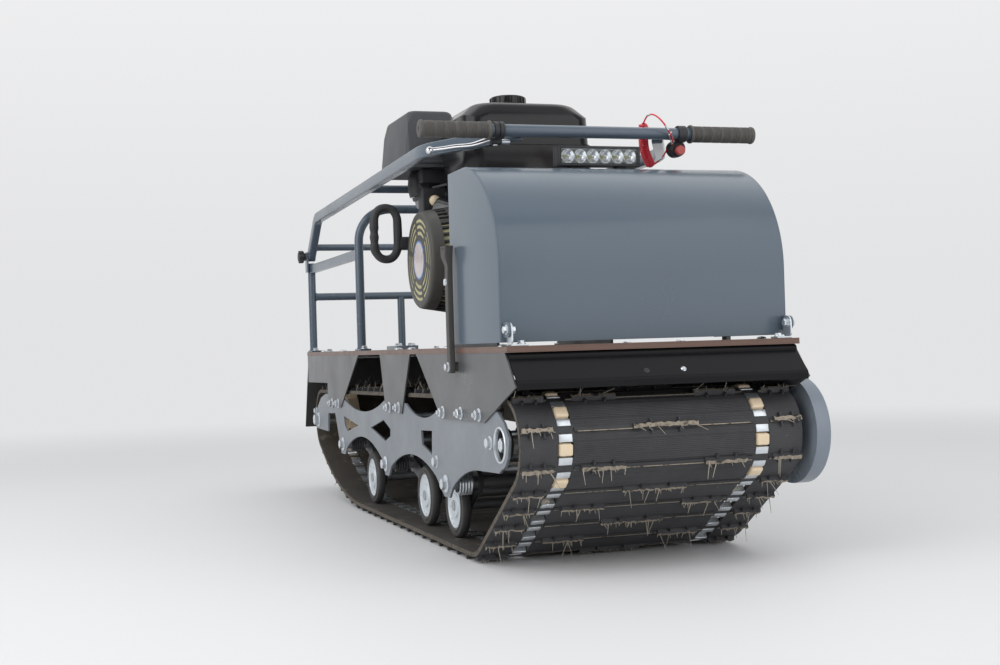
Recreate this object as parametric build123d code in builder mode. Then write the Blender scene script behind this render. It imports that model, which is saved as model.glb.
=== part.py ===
"""Tracked snow tug: a deck on one wide rubber track, a single-cylinder engine in the middle,
a sheet-steel hood in front and a tiller that is folded forward over the engine.

Millimetres. +X points forward, +Y to the left and +Z up. The origin is on the ground,
under the middle of the machine.
"""

import os
from math import asin, atan2, cos, degrees, hypot, radians, sin, sqrt, tan

from build123d import *

os.makedirs("parts", exist_ok=True)

# Small gap between round faces that sit in one another
SEAT_GAP = 0.3
# Room between a moving piece and its neighbours
MOVE_GAP = 6.0
# Right and left hand sides, with the sign of their y
SIDES = (("right", -1), ("left", 1))

# Track
TRACK_WIDTH = 496.0
BELT_THICKNESS = 8.0
LUG_HEIGHT = 9.0
DRUM_BELT_RADIUS = 78.0
DRIVE_X = 808.0
DRIVE_Z = 214.0
IDLER_X = -700.0
IDLER_Z = 195.0
APPROACH_ANGLE = 33.0
REAR_BEND_X = -490.0
REAR_BEND_RADIUS = 1000.0
FRONT_BEND_RADIUS = 100.0
LUG_ROWS = 60
LUG_PHASE = -0.4
LUG_ROOT = 11.0
LUG_SINK = 1.0
OUTER_LUGS = ((-246.0, -194.0), (194.0, 246.0))
CENTRE_LUGS = ((-57.0, 57.0),)
PAIRED_LUGS = ((-146.0, -70.0), (70.0, 146.0))

# Side plates and the skirts that hang them from the deck
PLATE_GAP = 3.0
PLATE_THICKNESS = 4.0
SKIRT_THICKNESS = 3.0
SKIRT_FLANGE = 30.0

# Deck
DECK_FRONT_X = 867.0
DECK_REAR_X = -820.0
DECK_OVERHANG = 1.0
DECK_THICKNESS = 10.0
DECK_TOP_Z = 372.0

# Front panel
PANEL_THICKNESS = 3.0
PANEL_TOP_X = 852.0
PANEL_FRONT_X = 900.0
PANEL_FLANGE = 40.0
PANEL_BOTTOM_Z = 308.0
PANEL_BEAD_RADIUS = 7.0
PANEL_BEAD_REACH = 6.0
PANEL_BEAD_GAP = 0.5
PANEL_LIP_TOP_Z = 316.0
PANEL_LIP_BOTTOM_Z = 304.0
PANEL_BEND_RADIUS = 5.0

# Axles, sprockets and bearings
AXLE_RADIUS = 15.0
IDLER_AXLE_RADIUS = 12.0
BEARING_RADIUS = 39.0
BEARING_FLANGE_RADIUS = 47.0
BEARING_FLANGE_THICKNESS = 4.0
SPROCKET_INSET = 75.0
SPROCKET_WIDTH = 30.0
AXLE_STICKOUT = 10.0

# Running gear
WHEEL_RADIUS = 60.0
WHEEL_DISC_RADIUS = 43.0
WHEEL_WIDTH = 20.0
WHEEL_INSET = 26.0
WHEEL_DISC_INSET = 3.0
WHEEL_AXLE_RADIUS = 10.0
PIVOT_AXLE_RADIUS = 12.0
ARM_THICKNESS = 8.0
ARM_HEIGHT = 28.0
ARM_HUB_RADIUS = 20.0
ARM_WHEEL_GAP = 4.0
SPRING_RADIUS = 19.0
SPRING_LENGTH = 33.0
SPRING_INSET = 8.0

# Drive case on the left side
CASE_FRONT_RADIUS = 91.0
CASE_REAR_RADIUS = 60.0
CASE_REAR_X = 672.0
CASE_REAR_Z = 300.0
CASE_GAP = 9.0
CASE_WIDTH = 28.0

# Mud flap and tow hitch
FLAP_THICKNESS = 5.0
FLAP_FLANGE = 40.0
FLAP_OVERHANG = 6.0
FLAP_BEND_RADIUS = 15.0
FLAP_REAR_X = -899.3
FLAP_BOTTOM_Z = 168.0
HITCH_WIDTH = 60.0
HITCH_THICKNESS = 10.0
HITCH_BORE_RADIUS = 9.0
HITCH_FRONT_X = -740.0
HITCH_BORE_X = -850.0

# Rack
TUBE_RADIUS = 10.0
RACK_INSET = 14.0
POST_X = -797.0
POST_TOP_Z = 610.0
CROSSBAR_Z = 520.0
ARCH_X = -215.0
ARCH_TOP_Z = 707.0
ARCH_BEND_RADIUS = 75.0
RAIL_Z = 605.0
RAIL_WIDTH = 12.0
RAIL_HEIGHT = 22.0
PIVOT_EAR_RADIUS = 13.0
PIVOT_EAR_THICKNESS = 4.0
PIVOT_EAR_REACH = 24.0

# Hood
HOOD_FRONT_X = 830.0
HOOD_REAR_X = 563.0
HOOD_TOP_Z = 680.0
HOOD_RADIUS = 187.0
HOOD_INSET = 2.0
HOOD_SHEET = 2.0
HINGE_X = 850.0
HINGE_Z = 398.0
HINGE_EAR_RADIUS = 12.0
HINGE_EAR_THICKNESS = 3.0
HINGE_BOLT_RADIUS = 4.0
HINGE_INSET = 5.0
HINGE_FOOT = 28.0
HINGE_BOLT_HEAD = 4.0

# Lamp bar on the hood
LAMP_X = 628.0
LAMP_LENGTH = 158.0
LAMP_DEPTH = 34.0
LAMP_HEIGHT = 36.0
LAMP_FOOT_HEIGHT = 6.0
LAMP_LENS_DEPTH = 3.0
LAMP_CORNER_RADIUS = 4.0
LAMP_FOOT_Y = 45.0
LAMP_FOOT_SIZE = 18.0

# Rubber strap latches
STRAP_X = 588.0
STRAP_BOTTOM_Z = 328.0
STRAP_TOP_Z = 550.0
STRAP_WIDTH = 22.0
STRAP_THICKNESS = 8.0
STRAP_BOSS_RADIUS = 9.0
STRAP_GRIP_WIDTH = 34.0
STRAP_GRIP_HEIGHT = 18.0
STRAP_GRIP_THICKNESS = 13.0

# Engine
CRANK_X = 253.0
CRANK_HEIGHT = 124.0
STAND_HEIGHT = 52.0
STAND_THICKNESS = 5.0
STAND_LENGTH = 290.0
STAND_WIDTH = 240.0
CRANKCASE_LENGTH = 230.0
CRANKCASE_RIGHT_Y = -92.0
CRANKCASE_LEFT_Y = 120.0
CRANKCASE_RISE = 92.0
SHROUD_RADIUS = 118.0
SHROUD_DEPTH = 76.0
DUCT_REACH = 81.0
DUCT_RISE = 68.0
DUCT_RADIUS = 68.0
RECOIL_RADIUS = 106.0
RECOIL_DEPTH = 62.0
RECOIL_TAPER = 9.0
RECOIL_EDGE_RADIUS = 5.0
HANDLE_Y = -270.0
HANDLE_RISE = 62.0
HANDLE_WIDTH = 66.0
HANDLE_HEIGHT = 118.0
HANDLE_BAR = 19.0
HANDLE_CORNER_RADIUS = 32.0
HANDLE_THICKNESS = 18.0
HANDLE_TAB_LENGTH = 32.0
HANDLE_TAB_HEIGHT = 26.0
HANDLE_TAB_RISE = 42.0
CYLINDER_TILT = 25.0
CYLINDER_LENGTH = 225.0
CYLINDER_WIDTH = 150.0
CYLINDER_HEIGHT = 130.0
CYLINDER_WALL_INSET = 14.0
FIN_COUNT = 9
FIN_START = 98.0
FIN_PITCH = 10.5
FIN_THICKNESS = 3.6
HEAD_START = 192.0
HEAD_THICKNESS = 12.0
ROCKER_INSET = 17.0
SHAFT_COVER_RADIUS = 88.0
SHAFT_COVER_DEPTH = 10.0
SHAFT_BOSS_RADIUS = 30.0
SHAFT_BOSS_DEPTH = 24.0
TANK_X = 223.0
TANK_LENGTH = 210.0
TANK_Y = -14.0
TANK_WIDTH = 268.0
TANK_LEG_HEIGHT = 82.0
TANK_HEIGHT = 135.0
TANK_CORNER_RADIUS = 40.0
TANK_SHOULDER = 26.0
TANK_SHOULDER_INSET = 30.0
TANK_EDGE_RADIUS = 6.0
TANK_LEG_X = (238.0, 312.0)
TANK_LEG_Y = 70.0
TANK_LEG_SIZE = 24.0
CAP_RADIUS = 37.5
CAP_HEIGHT = 26.0
CAP_Y = -24.0
CAP_EDGE_RADIUS = 5.0
FILTER_FRONT_X = 112.0
FILTER_REAR_X = -120.0
FILTER_RAIL_GAP = 20.0
FILTER_INNER_Y = -90.0
FILTER_HEIGHT = 121.0
FILTER_CORNER_RADIUS = 14.0
FILTER_LID = 26.0
FILTER_LID_INSET = 15.0
FILTER_TOP_RADIUS = 6.0
CARBURETTOR_X = 40.0
CARBURETTOR_LENGTH = 100.0
CARBURETTOR_WIDTH = 100.0
CARBURETTOR_HEIGHT = 103.0
CARBURETTOR_GAP = 10.0
SILENCER_X = 20.0
SILENCER_LENGTH = 180.0
SILENCER_RAIL_GAP = 30.0
SILENCER_HEIGHT = 130.0
SILENCER_RADIUS = 30.0

# Tiller
PIVOT_Z = 628.0
TILLER_TUBE_WIDTH = 20.0
TILLER_TUBE_HEIGHT = 25.0
TILLER_REAR_BEND_X = -688.0
TILLER_REAR_BEND_Z = 722.0
TILLER_FRONT_BEND_X = 375.0
TILLER_FRONT_Z = 748.0
TILLER_SWITCH_GAP = 24.0
TILLER_BEND_RADIUS = 60.0
BAR_X = 613.0
BAR_Z = 751.0
BAR_RADIUS = 11.0
GRIP_RADIUS = 15.0
GRIP_LENGTH = 130.0
BAR_HALF_LENGTH = 322.0
GRIP_WALL = 4.0
UPPER_CROSSBAR_X = -142.0
UPPER_CROSSBAR_Z = 735.0
LOWER_CROSSBAR_X = -770.0
LOWER_CROSSBAR_Z = 651.0
CROSSBAR_RADIUS = 9.0
KNOB_RADIUS = 17.0
KNOB_LENGTH = 20.0
PIVOT_BOLT_RADIUS = 5.0
LEVER_GRIP_GAP = 6.0
LEVER_CLAMP_WIDTH = 18.0
LEVER_X = 592.0
LEVER_ROOT_Z = 736.0
LEVER_TIP_INSET = 22.0
LEVER_TIP_Z = 716.0
LEVER_RADIUS = 5.0
SWITCH_GRIP_GAP = 1.0
SWITCH_Z = 727.0
SWITCH_RADIUS = 16.0
SWITCH_REAR_X = 578.0
SWITCH_CLAMP_WIDTH = 16.0
SWITCH_BUTTON_RADIUS = 9.0
SWITCH_BUTTON_X = 614.0
SWITCH_BUTTON_DROP = 5.0

# Lanyard: a coil with a thin lead at each end. Points from the switch's middle on the bar's line
COIL_RADIUS = 9.5
LEAD_RADIUS = 2.0
COIL_POINTS = ((-55, -35, -52), (-47, -49, -35), (-36, -60, -11), (-25, -62, 23))
LOWER_LEAD_POINTS = ((-25, -16, -24), (-33, -19, -35), (-44, -26, -45), (-55, -35, -52))
UPPER_LEAD_POINTS = ((-25, -62, 23), (-14, -62, 33), (0, -59, 36), (13, -54, 31), (22, -46, 19),
                     (24, -36, 4), (18, -27, -8), (6, -18, -16), (-11, -12, -18))

# Places that follow from the sizes above
PLATE_INNER_Y = TRACK_WIDTH / 2 + PLATE_GAP
PLATE_OUTER_Y = PLATE_INNER_Y + PLATE_THICKNESS
SKIRT_OUTER_Y = PLATE_OUTER_Y + SKIRT_THICKNESS
DECK_WIDTH = 2 * (SKIRT_OUTER_Y + DECK_OVERHANG)
DECK_BOTTOM_Z = DECK_TOP_Z - DECK_THICKNESS
HOOD_WIDTH = DECK_WIDTH - 2 * HOOD_INSET
HINGE_OUTER_Y = HOOD_WIDTH / 2 - HINGE_INSET
RACK_Y = DECK_WIDTH / 2 - RACK_INSET
CASE_INNER_Y = DECK_WIDTH / 2 + CASE_GAP
SPROCKET_Y = TRACK_WIDTH / 2 - SPROCKET_INSET
SPRING_OUTER_Y = TRACK_WIDTH / 2 - SPRING_INSET
WHEEL_OUTER_Y = TRACK_WIDTH / 2 - WHEEL_INSET
WHEEL_Z = LUG_HEIGHT + BELT_THICKNESS + WHEEL_RADIUS + SEAT_GAP
WHEEL_INNER_Y = WHEEL_OUTER_Y - WHEEL_WIDTH
ARM_OUTER_Y = WHEEL_INNER_Y - ARM_WHEEL_GAP
ARM_INNER_Y = ARM_OUTER_Y - ARM_THICKNESS
BELT_INNER_RADIUS = DRUM_BELT_RADIUS - BELT_THICKNESS
STRAP_INNER_Y = HOOD_WIDTH / 2 + MOVE_GAP
STAND_TOP_Z = DECK_TOP_Z + STAND_HEIGHT
CRANK_Z = STAND_TOP_Z + CRANK_HEIGHT
CRANKCASE_TOP_Z = CRANK_Z + CRANKCASE_RISE
HANDLE_Z = CRANK_Z + HANDLE_RISE
HANDLE_TAB_Z = CRANK_Z + HANDLE_TAB_RISE
CARBURETTOR_BOTTOM_Z = CRANKCASE_TOP_Z + CARBURETTOR_GAP
FILTER_BOTTOM_Z = CARBURETTOR_BOTTOM_Z + CARBURETTOR_HEIGHT
FILTER_TOP_Z = FILTER_BOTTOM_Z + FILTER_HEIGHT
RAIL_INNER_Y = RACK_Y - TILLER_TUBE_WIDTH / 2
FILTER_OUTER_Y = FILTER_RAIL_GAP - RAIL_INNER_Y
SILENCER_WIDTH = RAIL_INNER_Y - SILENCER_RAIL_GAP - CYLINDER_WIDTH / 2
TANK_BOTTOM_Z = CRANKCASE_TOP_Z + TANK_LEG_HEIGHT
TANK_TOP_Z = TANK_BOTTOM_Z + TANK_HEIGHT
GRIP_INNER_Y = BAR_HALF_LENGTH - GRIP_LENGTH
LEVER_CLAMP_Y = GRIP_INNER_Y - LEVER_GRIP_GAP - LEVER_CLAMP_WIDTH
LEVER_TIP_Y = BAR_HALF_LENGTH - LEVER_TIP_INSET
SWITCH_Y = GRIP_INNER_Y - SWITCH_GRIP_GAP - SWITCH_RADIUS
TILLER_FRONT_Y = SWITCH_Y - SWITCH_RADIUS - TILLER_SWITCH_GAP

# Running gear on each side: wheel x, pivot x, pivot z
RUNNING_GEAR = (
    (415.0, 490.0, 126.0),
    (210.0, 30.0, 130.0),
    (-250.0, -400.0, 148.0),
)


def save(builder, name):
    """Label a finished piece and write it to its own file."""
    builder.part.label = name
    export_step(builder.part, f"parts/{name}.step")


def side_plane(y):
    """Upright plane along the machine at this y, drawn as x and z."""
    return Plane.XZ.offset(-y)


def round_bar(start, end, radius):
    """Straight round bar between two points."""
    axis = Vector(*end) - Vector(*start)
    with BuildPart() as bar:
        with BuildSketch(Plane(origin=start, z_dir=axis)):
            Circle(radius)
        extrude(amount=axis.length)
    return bar.part


def crossing(point_a, angle_a, point_b, angle_b):
    """Point where two lines, each through a point at an angle in degrees, meet."""
    ax, az = point_a
    bx, bz = point_b
    ua = (cos(radians(angle_a)), sin(radians(angle_a)))
    ub = (cos(radians(angle_b)), sin(radians(angle_b)))
    along = ((bx - ax) * ub[1] - (bz - az) * ub[0]) / (ua[0] * ub[1] - ua[1] * ub[0])
    return (ax + along * ua[0], az + along * ua[1])


# Track: a loop of four straight runs, each tangent to the drums or the ground
top_angle = degrees(atan2(DRIVE_Z - IDLER_Z, DRIVE_X - IDLER_X))
top_point = (
    DRIVE_X - DRUM_BELT_RADIUS * sin(radians(top_angle)),
    DRIVE_Z + DRUM_BELT_RADIUS * cos(radians(top_angle)),
)
ramp_point = (
    DRIVE_X + DRUM_BELT_RADIUS * sin(radians(APPROACH_ANGLE)),
    DRIVE_Z - DRUM_BELT_RADIUS * cos(radians(APPROACH_ANGLE)),
)
rear_bend = (REAR_BEND_X, LUG_HEIGHT)
rear_rise = degrees(atan2(IDLER_Z - LUG_HEIGHT, REAR_BEND_X - IDLER_X))
rear_reach = hypot(IDLER_Z - LUG_HEIGHT, REAR_BEND_X - IDLER_X)
depart_angle = rear_rise - degrees(asin(DRUM_BELT_RADIUS / rear_reach))
front_corner = crossing(top_point, top_angle, ramp_point, APPROACH_ANGLE)
ground_front = crossing(ramp_point, APPROACH_ANGLE, rear_bend, 0)
rear_corner = crossing(top_point, top_angle, rear_bend, -depart_angle)
track_corners = (
    (front_corner, DRUM_BELT_RADIUS),
    (ground_front, FRONT_BEND_RADIUS),
    (rear_bend, REAR_BEND_RADIUS),
    (rear_corner, DRUM_BELT_RADIUS),
)


def track_loop(grow):
    """Closed outline of the belt's outer face, moved outwards by this much."""
    with BuildSketch() as loop:
        with BuildLine():
            Polyline(*[corner for corner, radius in track_corners], close=True)
        make_face()
        for corner, radius in track_corners:
            nearest = loop.vertices().sort_by_distance((corner[0], corner[1], 0))[0]
            fillet(nearest, radius)
        if grow:
            offset(amount=grow, kind=Kind.ARC)
    return loop.sketch


# Bends in the order of the belt's run: centre, radius, angle of the outward side from and to
front_bend_z = LUG_HEIGHT + FRONT_BEND_RADIUS
rear_bend_z = LUG_HEIGHT + REAR_BEND_RADIUS
front_bend_x = ground_front[0] - FRONT_BEND_RADIUS * tan(radians(APPROACH_ANGLE / 2))
rear_bend_x = REAR_BEND_X + REAR_BEND_RADIUS * tan(radians(depart_angle / 2))
TRACK_BENDS = (
    ((DRIVE_X, DRIVE_Z), DRUM_BELT_RADIUS, 90 + top_angle, APPROACH_ANGLE - 90),
    ((front_bend_x, front_bend_z), FRONT_BEND_RADIUS, APPROACH_ANGLE - 90, -90),
    ((rear_bend_x, rear_bend_z), REAR_BEND_RADIUS, -90, -90 - depart_angle),
    ((IDLER_X, IDLER_Z), DRUM_BELT_RADIUS, -90 - depart_angle, top_angle - 270),
)


def beside(centre, radius, angle):
    """Point at this distance and angle from a centre."""
    return (centre[0] + radius * cos(radians(angle)), centre[1] + radius * sin(radians(angle)))


def lug_places():
    """Place of each lug row on the belt's outer face and the angle outwards, at even steps of the run."""
    runs = []
    for bend, after in zip(TRACK_BENDS, TRACK_BENDS[1:] + TRACK_BENDS[:1]):
        centre, radius, start, end = bend
        bent = radians(start - end) * (radius - BELT_THICKNESS / 2)
        runs.append((bent, centre, centre, radius, start, end))
        leave = beside(centre, radius, end)
        reach = beside(after[0], after[1], end)
        straight = hypot(reach[0] - leave[0], reach[1] - leave[1])
        runs.append((straight, leave, reach, 0, end, end))
    pitch = sum(run[0] for run in runs) / LUG_ROWS
    places = []
    for row in range(LUG_ROWS):
        along = (row + LUG_PHASE) % LUG_ROWS * pitch
        for length, near, far, radius, start, end in runs:
            if along <= length:
                break
            along -= length
        share = along / length
        angle = start + (end - start) * share
        middle = (near[0] + (far[0] - near[0]) * share, near[1] + (far[1] - near[1]) * share)
        places.append((beside(middle, radius, angle), angle))
    return places


with BuildPart() as track:
    with BuildSketch(Plane.XZ):
        add(track_loop(0))
        add(track_loop(-BELT_THICKNESS), mode=Mode.SUBTRACT)
    extrude(amount=TRACK_WIDTH / 2, both=True)
    rows = lug_places()
    for lug_set, lug_rows in ((OUTER_LUGS, rows), (CENTRE_LUGS, rows[::2]), (PAIRED_LUGS, rows[1::2])):
        for low_y, high_y in lug_set:
            with BuildSketch(side_plane(low_y)):
                for foot, angle in lug_rows:
                    with Locations(Location((foot[0], foot[1]), angle - 90)):
                        Polygon(
                            (-LUG_ROOT / 2, -LUG_SINK),
                            (LUG_ROOT / 2, -LUG_SINK),
                            (0, LUG_HEIGHT),
                            align=None,
                        )
            extrude(amount=low_y - high_y)
save(track, "track")

# Deck: one plywood board
with BuildPart() as deck:
    with BuildSketch(Plane.XY.offset(DECK_BOTTOM_Z)):
        with Locations(((DECK_FRONT_X + DECK_REAR_X) / 2, 0)):
            Rectangle(DECK_FRONT_X - DECK_REAR_X, DECK_WIDTH)
    extrude(amount=DECK_THICKNESS)
save(deck, "deck")

# Front panel: bent sheet under the deck's front edge, with a rolled bead
panel_half = PLATE_OUTER_Y - SEAT_GAP
with BuildPart() as front_panel:
    with BuildSketch(Plane.XZ):
        with BuildLine():
            FilletPolyline(
                (PANEL_TOP_X - PANEL_FLANGE, DECK_BOTTOM_Z - PANEL_THICKNESS / 2),
                (PANEL_TOP_X, DECK_BOTTOM_Z - PANEL_THICKNESS / 2),
                (PANEL_FRONT_X - PANEL_THICKNESS / 2, PANEL_LIP_TOP_Z),
                (PANEL_FRONT_X - PANEL_THICKNESS / 2, PANEL_LIP_BOTTOM_Z),
                radius=PANEL_BEND_RADIUS,
            )
        trace(line_width=PANEL_THICKNESS)
        with Locations((PANEL_TOP_X + PANEL_BEAD_REACH, DECK_BOTTOM_Z - PANEL_BEAD_RADIUS - PANEL_BEAD_GAP)):
            Circle(PANEL_BEAD_RADIUS)
    extrude(amount=panel_half, both=True)
save(front_panel, "front_panel")

# Skirts: bent sheet legs that hang from the deck. A leg's corners go from its top rear
# one round to its top front one
SKIRT_LEGS = (
    ((DECK_REAR_X, DECK_BOTTOM_Z), (DECK_REAR_X, 291), (-560, 293), (-560, 245), (-407, 236),
     (-199, DECK_BOTTOM_Z)),
    ((12, DECK_BOTTOM_Z), (52, 246), (187, 242), (264, DECK_BOTTOM_Z)),
    ((313, DECK_BOTTOM_Z), (478, 244), (735, 247), (PANEL_FRONT_X, PANEL_BOTTOM_Z),
     (PANEL_TOP_X, DECK_BOTTOM_Z)),
)
flange_rear_x = DECK_REAR_X + FLAP_FLANGE + SEAT_GAP
flange_front_x = PANEL_TOP_X - PANEL_FLANGE - SEAT_GAP
for side_name, side in SIDES:
    with BuildPart() as skirt:
        for leg in SKIRT_LEGS:
            with BuildSketch(side_plane(side * PLATE_OUTER_Y)):
                with BuildLine():
                    Polyline(*leg, close=True)
                make_face()
            extrude(amount=-side * SKIRT_THICKNESS)
            start_x = max(leg[0][0], flange_rear_x)
            end_x = min(leg[-1][0], flange_front_x)
            flange_y = side * (SKIRT_OUTER_Y - SKIRT_FLANGE / 2)
            with BuildSketch(Plane.XY.offset(DECK_BOTTOM_Z - SKIRT_THICKNESS)):
                with Locations(((start_x + end_x) / 2, flange_y)):
                    Rectangle(end_x - start_x, SKIRT_FLANGE)
            extrude(amount=SKIRT_THICKNESS)
    save(skirt, f"skirt_{side_name}")

# Side plates: cut sheet with arches over the wheels, three windows and the axle holes.
# The outline's runs go round from the top rear, first down and forward
PLATE_RUNS = (
    ("edge", ((-400, 262), (-600, 265), (-665, 253), (-757, 205), (-735, 172), (-583, 170),
              (-577, 216), (-489, 219), (-425, 124), (-385, 124), (-360, 142))),
    ("arch", ((-360, 142), (-170, 176), (12, 130))),
    ("edge", ((12, 130), (20, 106), (52, 106), (75, 128))),
    ("arch", ((75, 128), (240, 164), (422, 134))),
    ("edge", ((422, 134), (474, 102), (508, 102), (530, 123))),
    ("arch", ((530, 123), (610, 154), (700, 165))),
    ("edge", ((700, 165), (798, 168), (845, 195), (853, 225), (830, 250), (797, 267), (460, 264))),
    ("arch", ((460, 264), (345, 240), (210, 264))),
    ("edge", ((210, 264), (27, 264))),
    ("arch", ((27, 264), (-170, 234), (-400, 262))),
)
PLATE_WINDOWS = (
    ((322, 215), (402, 218), (397, 173), (328, 188)),
    ((-104, 201), (17, 223), (77, 206), (75, 191), (29, 178)),
    ((-389, 216), (-231, 200), (-349, 181), (-378, 193)),
)
for side_name, side in SIDES:
    with BuildPart() as side_plate:
        with BuildSketch(side_plane(side * PLATE_INNER_Y)):
            with BuildLine():
                for run_shape, run_points in PLATE_RUNS:
                    if run_shape == "arch":
                        ThreePointArc(*run_points)
                    else:
                        Polyline(*run_points)
            make_face()
            with Locations((DRIVE_X, DRIVE_Z)):
                Circle(BEARING_RADIUS, mode=Mode.SUBTRACT)
            with Locations((IDLER_X, IDLER_Z)):
                Circle(IDLER_AXLE_RADIUS + SEAT_GAP, mode=Mode.SUBTRACT)
            for window in PLATE_WINDOWS:
                with BuildLine():
                    Polyline(*window, close=True)
                make_face(mode=Mode.SUBTRACT)
        extrude(amount=-side * PLATE_THICKNESS)
    save(side_plate, f"side_plate_{side_name}")

# Drive axle with its bearings, and the idler axle with its end nuts
with BuildPart() as drive_axle:
    with BuildSketch(side_plane(-PLATE_OUTER_Y - AXLE_STICKOUT)):
        with Locations((DRIVE_X, DRIVE_Z)):
            Circle(AXLE_RADIUS)
    extrude(amount=-(PLATE_OUTER_Y + AXLE_STICKOUT + CASE_INNER_Y))
save(drive_axle, "drive_axle")

with BuildPart() as drive_bearings:
    for side_name, side in SIDES:
        bearing_end = CASE_INNER_Y if side > 0 else PLATE_OUTER_Y + BEARING_FLANGE_THICKNESS
        with BuildSketch(side_plane(side * PLATE_INNER_Y)):
            with Locations((DRIVE_X, DRIVE_Z)):
                Circle(BEARING_RADIUS - SEAT_GAP)
                Circle(AXLE_RADIUS + SEAT_GAP, mode=Mode.SUBTRACT)
        extrude(amount=-side * (bearing_end - PLATE_INNER_Y))
        with BuildSketch(side_plane(side * PLATE_OUTER_Y)):
            with Locations((DRIVE_X, DRIVE_Z)):
                Circle(BEARING_FLANGE_RADIUS)
                Circle(AXLE_RADIUS + SEAT_GAP, mode=Mode.SUBTRACT)
        extrude(amount=-side * BEARING_FLANGE_THICKNESS)
save(drive_bearings, "drive_bearings")

with BuildPart() as idler_axle:
    with BuildSketch(side_plane(-PLATE_OUTER_Y - AXLE_STICKOUT)):
        with Locations((IDLER_X, IDLER_Z)):
            Circle(IDLER_AXLE_RADIUS)
    extrude(amount=-2 * (PLATE_OUTER_Y + AXLE_STICKOUT))
save(idler_axle, "idler_axle")

# Sprockets inside the track on both axles, two to an axle
SPROCKET_AXLES = (
    ("drive_sprockets", DRIVE_X, DRIVE_Z, AXLE_RADIUS),
    ("idler_sprockets", IDLER_X, IDLER_Z, IDLER_AXLE_RADIUS),
)
for sprocket_name, axle_x, axle_z, axle_radius in SPROCKET_AXLES:
    with BuildPart() as sprockets:
        for side_name, side in SIDES:
            with BuildSketch(side_plane(side * (SPROCKET_Y - SPROCKET_WIDTH / 2))):
                with Locations((axle_x, axle_z)):
                    Circle(BELT_INNER_RADIUS - SEAT_GAP)
                    Circle(axle_radius + SEAT_GAP, mode=Mode.SUBTRACT)
            extrude(amount=-side * SPROCKET_WIDTH)
    save(sprockets, sprocket_name)

# Running gear: cross pivots, arms, wheel axles, wheels and the torsion springs
with BuildPart() as pivot_axles:
    for wheel_x, pivot_x, pivot_z in RUNNING_GEAR:
        with BuildSketch(side_plane(-PLATE_INNER_Y)):
            with Locations((pivot_x, pivot_z)):
                Circle(PIVOT_AXLE_RADIUS)
        extrude(amount=-2 * PLATE_INNER_Y)
save(pivot_axles, "pivot_axles")

with BuildPart() as wheel_axles:
    for wheel_x, pivot_x, pivot_z in RUNNING_GEAR:
        with BuildSketch(side_plane(-WHEEL_OUTER_Y)):
            with Locations((wheel_x, WHEEL_Z)):
                Circle(WHEEL_AXLE_RADIUS)
        extrude(amount=-2 * WHEEL_OUTER_Y)
save(wheel_axles, "wheel_axles")

for side_name, side in SIDES:
    with BuildPart() as arms:
        for wheel_x, pivot_x, pivot_z in RUNNING_GEAR:
            with BuildSketch(side_plane(side * ARM_INNER_Y)):
                with BuildLine():
                    Line((pivot_x, pivot_z), (wheel_x, WHEEL_Z))
                trace(line_width=ARM_HEIGHT)
                with Locations((pivot_x, pivot_z), (wheel_x, WHEEL_Z)):
                    Circle(ARM_HUB_RADIUS)
                with Locations((pivot_x, pivot_z)):
                    Circle(PIVOT_AXLE_RADIUS + SEAT_GAP, mode=Mode.SUBTRACT)
                with Locations((wheel_x, WHEEL_Z)):
                    Circle(WHEEL_AXLE_RADIUS + SEAT_GAP, mode=Mode.SUBTRACT)
            extrude(amount=-side * ARM_THICKNESS)
    save(arms, f"suspension_arms_{side_name}")

with BuildPart() as wheel_tyres:
    for side_name, side in SIDES:
        for wheel_x, pivot_x, pivot_z in RUNNING_GEAR:
            with BuildSketch(side_plane(side * WHEEL_INNER_Y)):
                with Locations((wheel_x, WHEEL_Z)):
                    Circle(WHEEL_RADIUS)
                    Circle(WHEEL_DISC_RADIUS, mode=Mode.SUBTRACT)
            extrude(amount=-side * WHEEL_WIDTH)
save(wheel_tyres, "wheel_tyres")

with BuildPart() as wheel_discs:
    for side_name, side in SIDES:
        for wheel_x, pivot_x, pivot_z in RUNNING_GEAR:
            with BuildSketch(side_plane(side * (WHEEL_INNER_Y + WHEEL_DISC_INSET))):
                with Locations((wheel_x, WHEEL_Z)):
                    Circle(WHEEL_DISC_RADIUS - SEAT_GAP)
                    Circle(WHEEL_AXLE_RADIUS + SEAT_GAP, mode=Mode.SUBTRACT)
            extrude(amount=-side * (WHEEL_WIDTH - 2 * WHEEL_DISC_INSET))
save(wheel_discs, "wheel_discs")

with BuildPart() as torsion_springs:
    for side_name, side in SIDES:
        for wheel_x, pivot_x, pivot_z in RUNNING_GEAR:
            with BuildSketch(side_plane(side * (SPRING_OUTER_Y - SPRING_LENGTH))):
                with Locations((pivot_x, pivot_z)):
                    Circle(SPRING_RADIUS)
                    Circle(PIVOT_AXLE_RADIUS + SEAT_GAP, mode=Mode.SUBTRACT)
            extrude(amount=-side * SPRING_LENGTH)
save(torsion_springs, "torsion_springs")

# Drive case: closed case round the chain from the jackshaft down to the drive axle
with BuildPart() as drive_case:
    with BuildSketch(side_plane(CASE_INNER_Y)):
        with Locations((DRIVE_X, DRIVE_Z)):
            Circle(CASE_FRONT_RADIUS)
        with Locations((CASE_REAR_X, CASE_REAR_Z)):
            Circle(CASE_REAR_RADIUS)
        make_hull()
    extrude(amount=-CASE_WIDTH)
save(drive_case, "drive_case")

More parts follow.
